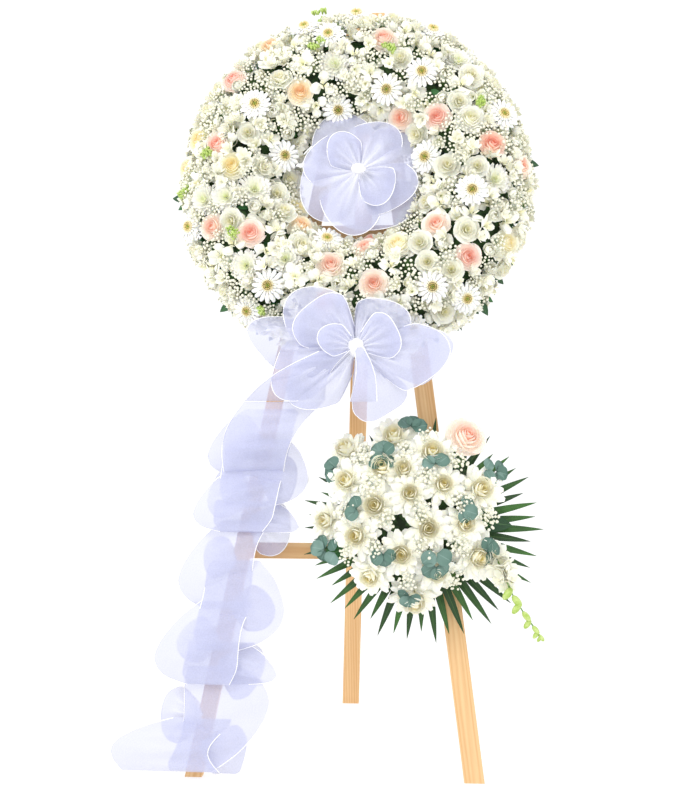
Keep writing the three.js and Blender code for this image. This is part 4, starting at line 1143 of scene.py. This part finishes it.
class Ribbon:
    """Organza in one piece: its cloth and the wired edges that outline it."""

    def __init__(self, seed):
        self.cloth, self.edges = new_form(), new_form()
        self.rng = random.Random(seed)
        self.widest = 0.0

    def veil(self, outer, inner, bulge, pleats, depth, flat):
        """One stretch of cloth between two edges, puffed towards the front and pleated near its inner edge.

        A flat one is wired along both edges and evenly tinted, a gathered one only along its outer edge.
        """
        rng = self.rng
        along, over = CLOTH_CELLS
        tint = self.cloth.verts.layers.float_color["petal"]
        shift, chance = rng.uniform(0, 6), rng.random()
        drift = Vector([rng.uniform(0, 50) for _ in range(3)])
        grid = bmesh.ops.create_grid(self.cloth, x_segments=along, y_segments=over, size=1)["verts"]
        lines = {}
        for vert in grid:
            s, t = (vert.co.x + 1) / 2, (vert.co.y + 1) / 2
            point = route(inner, s).lerp(route(outer, s), t)
            gather = math.sin(math.pi * min(1.0, t * 1.1)) * (1 - t) ** 0.7
            wave = depth * gather * math.sin(math.tau * pleats * s + shift)
            wave += depth * 0.5 * t * (1 - t) * noise.noise(point * 0.02 + drift) * 4
            puff = bulge * math.sin(math.pi * t) * math.sin(math.pi * s) ** 0.5
            vert.co = EASEL @ (point + FRONT * (puff + wave))
            vert[tint] = (FLAT_TINT if flat else t, s, chance, 1)
            lines.setdefault(round(t * over), {})[round(s * along)] = vert.co.copy()
        for face in {face for vert in grid for face in vert.link_faces}:
            face.smooth = True
        for side in (over, 0) if flat else (over,):
            line = [lines[side][i] for i in range(along + 1)]
            for start, end in zip(line, line[1:]):
                if (end - start).length > 1e-5:
                    thread(self.edges, start, end, WIRE * MM, 0)
        widths = [(lines[0][i] - lines[over][i]).length for i in range(along + 1)]
        self.widest = max(self.widest, *widths)

    def loop(self, knot, clock, reach, spread, depth, bulge, pleats=5):
        """A bow's loop: its rim swings out from the knot towards a clock angle and comes back."""
        clock += self.rng.uniform(-13, 13)
        reach *= self.rng.uniform(0.9, 1.06)
        crimp = self.rng.uniform(0, 6)
        steps = 12
        rim = []
        for i in range(steps + 1):
            s = i / steps
            around = math.radians(clock + spread * (2 * s - 1))
            far = reach * (0.3 + 0.7 * math.sin(math.pi * s) ** 0.42) * (1 + 0.07 * math.sin(8 * s + crimp))
            rim.append((knot[0] + far * math.sin(around), max(FLOOR_GAP, knot[2] + far * math.cos(around))))
        centre = Vector(knot)
        outer = deep(rim, (depth + 4, depth - 12, depth + 4))
        inner = [centre + (point - centre) * 0.07 for point in outer]
        self.veil(outer, inner, bulge, pleats, 7, False)

    def band(self, start, end, halves, depths, swing, slant=0.0, pinch=(1, 1), bulge=12, pleats=3):
        """A flat length between two places: it swings aside on the way and is drawn in at its ends."""
        left, right = [], []
        steps = 8
        for i in range(steps + 1):
            s = i / steps
            arch = math.sin(math.pi * s)
            middle = start[0] + (end[0] - start[0]) * s + swing * arch
            up = start[1] + (end[1] - start[1]) * s
            least = pinch[0] if s < 0.5 else pinch[1]
            half = (halves[0] + (halves[1] - halves[0]) * s) * (least + (1 - least) * arch ** 0.6)
            left.append((middle - half, up + slant * arch))
            right.append((middle + half, up - slant * arch))
        near, far = depths
        fall = (near, (near + far) / 2 - 16, far)
        self.veil(deep(left, fall), deep(right, [depth - 8 for depth in fall]), bulge, pleats, 5, True)

    def make(self, name, skins, nodes, held, rests_on):
        """Makes the cloth and its edges."""
        cloth = piece(name, self.cloth, [skins["organza"]], "organza", nodes)
        edges = piece(f"{name}_edges", self.edges, [skins["edge"]], "organza")


CENTRE_KNOT = (15, -136, 1392)
MAIN_KNOT = (16, -208, 952)
# the turn of ribbon that binds each knot: its middle and half its width, depth and height
WRAPS = {
    "centre_bow": ((14, -164, 1385), (16, 14, 12)),
    "main_bow": ((17, -212, 950), (19, 26, 21)),
}
# tiers of loops in the centre bow: how many, first clock angle, reach, half spread, depth of their rim
CENTRE_TIERS = ((4, 340, 148, 64, -106), (4, 25, 132, 54, -122), (2, 320, 96, 52, -142))
# loops of the main bow on each side: clock angle, reach, half spread, depth of the rim
MAIN_LOOPS = {
    "left": ((290, 270, 24, -150), (318, 180, 46, -180), (262, 225, 34, -172), (238, 190, 38, -158),
             (300, 145, 46, -205), (278, 85, 52, -232)),
    "right": ((50, 150, 48, -180), (85, 215, 30, -155), (112, 195, 40, -195), (142, 185, 36, -150),
              (75, 100, 50, -225)),
}
# the front legs, from the foot to the top
LEFT_LEG_RUN = Vector((355.9, 0, 1861))
RIGHT_LEG_RUN = Vector((-236.6, 0, 1861))
REAR_LEG_LEAN = math.radians(9.1)
LEFT_FOOT = -359
FLARE = 44  # how far the last end is spread aside
TAIL_TOP = 844
TAIL_START = (-152, 842)  # where the tail comes out from under the main bow
TAIL_START_END = 690  # height at which that first flat length ends
# the tail's lengths: node, top, foot, turns, half width at the top and at the foot, swing aside
TAIL_LENGTHS = {
    "upper": (842, 552, 2, 100, 98, 26),
    "middle": (580, 209, 2, 88, 108, 42),
    "lower": (248, 18, 1, 98, 124, -54),
}


def leg_x(up):
    """Where the middle of the left leg lies at a height."""
    return LEFT_FOOT + LEFT_LEG_RUN.x / LEFT_LEG_RUN.z * up


def centre_bow(skins):
    """The bow in the ring's hole: tiers of wide loops round one knot, longer towards the bottom."""
    ribbon = Ribbon(21)
    for count, first, reach, spread, depth in CENTRE_TIERS:
        for i in range(count):
            clock = first + 360 * i / count
            longer = 1 + 0.09 * (1 - math.cos(math.radians(clock)))
            ribbon.loop(CENTRE_KNOT, clock, reach * longer, spread, depth, 10, 4)
    ribbon.make("centre_bow_loops", skins, ["centre_bow"], "gathered", ["centre_bow_wrap"])


def main_bow(skins):
    """The large bow under the ring: loops to the left and right of one knot, and a short hanging end."""
    sides = {"left": Ribbon(31), "right": Ribbon(32)}
    for side, ribbon in sides.items():
        for clock, reach, spread, depth in MAIN_LOOPS[side]:
            ribbon.loop(MAIN_KNOT, clock, reach, spread, depth, 16)
    sides["left"].band((-30, 940), (-150, TAIL_TOP), (34, 92), (-222, -130), swing=-16)
    sides["right"].band((24, 946), (34, 828), (10, 30), (-232, -214), swing=10, bulge=8, pleats=2)
    for side, ribbon in sides.items():
        ribbon.make(f"main_bow_{side}_loops", skins, [f"main_bow_{side}"], "gathered", ["main_bow_wrap"])


def tail(skins):
    """The long end of the ribbon: it drops down the left leg to the floor in loose turns round the leg."""
    for seed, (length, (top, foot, turns, wide, wider, swing)) in enumerate(TAIL_LENGTHS.items(), 41):
        ribbon = Ribbon(seed)
        drop = (top - foot) / turns
        lengths = 2 * turns
        for k in range(lengths):
            side = 1 if k % 2 else -1
            high = top - drop / 2 * k
            low = max(foot, high - 1.1 * drop)
            half = wide + (wider - wide) * k / lengths
            on_floor = length == "lower" and k == lengths - 1
            # the cloth puffs out beside the leg and is drawn in where it crosses in front of it
            spot = (high + low) / 2
            ribbon.loop((leg_x(spot), -12, spot), 90 * side + 15, 1.1 * half, 58, 4, 8)
            depth = -24 - 11 * (k % 3)
            end = (leg_x(low) - (FLARE if on_floor else 0), low)
            ribbon.band((leg_x(high), high), end, (half, half), (depth, depth - 8), swing * side,
                        0 if on_floor else 26 * side, (0.6, 1 if on_floor else 0.5))
        if length == "upper":
            end = (leg_x(TAIL_START_END), TAIL_START_END)
            ribbon.band(TAIL_START, end, (92, 70), (-130, -62), swing=-20, pleats=4)
        name = "tail_lower_end" if length == "lower" else f"tail_{length}_turns"
        ribbon.make(name, skins, [f"tail_{length}"], "hung", ["left_front_leg"])


def knot_wrap(bow, skins):
    """The turn of ribbon that binds a bow's middle, drawn tight into upright folds."""
    centre, half = WRAPS[bow]
    form = new_form()
    bmesh.ops.create_uvsphere(form, u_segments=36, v_segments=18, radius=1)
    for vert in form.verts:
        around = math.atan2(vert.co.x, vert.co.y)
        crease = 1 + 0.13 * math.sin(9 * around + 3 * vert.co.z) + 0.1 * noise.noise(vert.co * 2.4)
        x, depth, up = vert.co
        fold = Vector((x * half[0] * crease, depth * half[1] * crease, up * half[2]))
        vert.co = EASEL @ (Vector(centre) + fold)
    soften(form)
    piece(f"{bow}_wrap", form, [skins["edge"]], "organza", [f"{bow}_knot"])


# ---------------------------------------------------------------- the stand's finish
def finish_stand():
    """Gives the parts of the stand their finishes, the grain of each batten along its run."""
    up_left = TILT.to_3x3() @ LEFT_LEG_RUN
    up_right = TILT.to_3x3() @ RIGHT_LEG_RUN
    up_rear = (0, -math.sin(REAR_LEG_LEAN), math.cos(REAR_LEG_LEAN))
    woods = {
        "left_front_leg": pine("planed_pine_left_leg", up_left),
        "right_front_leg": pine("planed_pine_right_leg", up_right),
        "rear_leg": pine("planed_pine_rear_leg", up_rear),
        "lower_crossbar": pine("planed_pine_crossbars", (1, 0, 0)),
        "top_block": pine("planed_pine_block", (1, 0, 0.02)),
    }
    woods["upper_crossbar"] = woods["lower_crossbar"]
    steel = zinc_steel()
    others = {"ring_tray": moulded_tray(), "foam_ring": wet_foam(), "leg_tie": rubber_band()}
    others["bouquet_tray"], others["bouquet_foam"] = others["ring_tray"], others["foam_ring"]
    for name, node in frame["nodes"].items():
        finish = woods.get(name) or others.get(name)
        if finish is None and ("screw" in name or "hinge" in name):
            finish = steel
        if finish is not None:
            for socket in node.material_slots:
                socket.material = finish


# ---------------------------------------------------------------- stage
def make_lamp(name, place, target, size, power):
    """A square lamp that faces a target."""
    lamp = bpy.data.lights.new(name, "AREA")
    lamp.size = size
    lamp.energy = power
    light = bpy.data.objects.new(name, lamp)
    light.location = place
    light.rotation_euler = (Vector(target) - Vector(place)).to_track_quat("-Z", "Y").to_euler()
    bpy.context.scene.collection.objects.link(light)


def make_floor():
    """A white studio floor that stays white under the object's shade."""
    material, tree = blank("white_studio_floor")
    place = add(tree, "TexCoord")
    cloud = add(tree, "TexNoise", {"Vector": place.outputs["Object"], "Scale": 2.0})
    tone = add(tree, "ValToRGB", {"Fac": cloud.outputs["Fac"]}, stops=[(0.0, "#A2A2A2"), (1.0, "#A8A8A8")])
    shade(tree, {
        "Base Color": tone.outputs["Color"], "Roughness": 0.9, "Emission Color": (1, 1, 1, 1),
        "Emission Strength": 0.62,
    })
    form = bmesh.new()
    bmesh.ops.create_grid(form, x_segments=1, y_segments=1, size=8)
    mesh = mesh_of("floor", form)
    mesh.materials.append(material)
    floor = bpy.data.objects.new("floor", mesh)
    bpy.context.scene.collection.objects.link(floor)


def make_stage():
    """A level camera in front of the easel, a white surround, two lamps and the floor."""
    scene = bpy.context.scene
    eye = bpy.data.cameras.new("camera")
    eye.lens = 52.8
    eye.sensor_width = 36
    camera = bpy.data.objects.new("camera", eye)
    camera.location = (0.2259, -2.8791, 0.870)
    camera.rotation_euler = (math.radians(90), 0, math.radians(4))
    scene.collection.objects.link(camera)
    scene.camera = camera
    scene.view_settings.view_transform = "Standard"
    scene.view_settings.exposure = 0.15
    scene.cycles.transparent_max_bounces = 24

    world = bpy.data.worlds.new("studio")
    world.use_nodes = True
    backdrop = world.node_tree.nodes["Background"]
    backdrop.inputs["Color"].default_value = (1, 1, 1, 1)
    backdrop.inputs["Strength"].default_value = 1.0
    scene.world = world

    make_lamp("key", (-1.9, -2.3, 3.1), (0, 0, 1.0), 1.2, 32)
    make_lamp("fill", (2.4, -2.2, 1.6), (0, 0, 0.9), 2.2, 9)
    make_floor()


make_stage()
finish_stand()
SKINS = {
    "rose": {
        "blush": petal_skin("rose_petals_blush", "#FFF8F0", "#FFEADC", "#FFC6AE", "#FFEEDA"),
        "pink": petal_skin("rose_petals_pink", "#FFF5EE", "#FFE0D4", "#FFBDA8", "#FFEADA"),
        "coral": petal_skin("rose_petals_coral", "#FFEEE2", "#FFD3C0", "#FAAA90", "#FFE2D0"),
        "peach": petal_skin("rose_petals_peach", "#FFFAEC", "#FFECCC", "#FFD6A8", "#FFF0D4"),
        "cream": petal_skin("rose_petals_cream", "#FFFEF4", "#FFFAE0", "#FFF1C0", "#FCF6D4"),
        "yellow": petal_skin("rose_petals_yellow", "#FFFDF0", "#FFF7D0", "#FFEAA4", "#FAF4C8"),
        "white": petal_skin("rose_petals_white", "#FFFFFA", "#FCFBEE", "#F6F3CC", "#EFF2D0"),
    },
    "white": petal_skin("lisianthus_petals", "#FBFBF0", "#FBF8E2", "#F8F2BE", "#ECEEB4", 0.015),
    "cream": petal_skin("reflexed_rose_petals", "#FCFCF2", "#FDF8DF", "#FFF1B2", "#F8F3C6", 0.04),
    "gerbera": [
        petal_skin("gerbera_ray_petals", "#FAFAF6", "#F5F4E9", "#F1EDD2", "#E9E3BC", 0.0), gerbera_eye(),
    ],
    "mum": petal_skin("spider_mum_quills", "#FFFEF8", "#FBFBE8", "#EAF0B8", "#F0F3CC", 0.0),
    "lime": plain_skin("bud_skin_lime", "#A9C65A", "#CBDD8C", 0.5, 8, 0.2),
    "stem": plain_skin("stem_skin_green", "#5E8A3E", "#7FA659", 0.6, 6, 0.2),
    "leaf": leaf_skin("leaf_skin_dark_green", "#1F4A27", "#3C7A3F", "#6E9A5E", 0.38),
    "palm": leaf_skin("palm_leaflet_skin", "#183F10", "#3A6E26", "#5E8A3C", 0.42),
    "gum": leaf_skin("gum_leaf_bloom", "#587A6E", "#7E9C93", "#93B0A6", 0.6),
    # painted shade: the bed under the heads is a darker copy of the leaf green, as foliage deep in shade
    "bed": plain_skin("foliage_in_shade", "#14240F", "#3A5A2C", 0.9, 14, 0.8),
}
SKINS["organza"], SKINS["edge"] = organza(), edge_thread()
SKINS["mist"] = [plain_skin("gypsophila_florets", "#EDEBD6", "#FBF9EA", 0.7, 2.5, 0.5), SKINS["stem"]]
make_ring(SKINS)
make_bouquet(SKINS)
make_spray(SKINS)
for bow in WRAPS:
    knot_wrap(bow, SKINS)
centre_bow(SKINS)
main_bow(SKINS)
tail(SKINS)
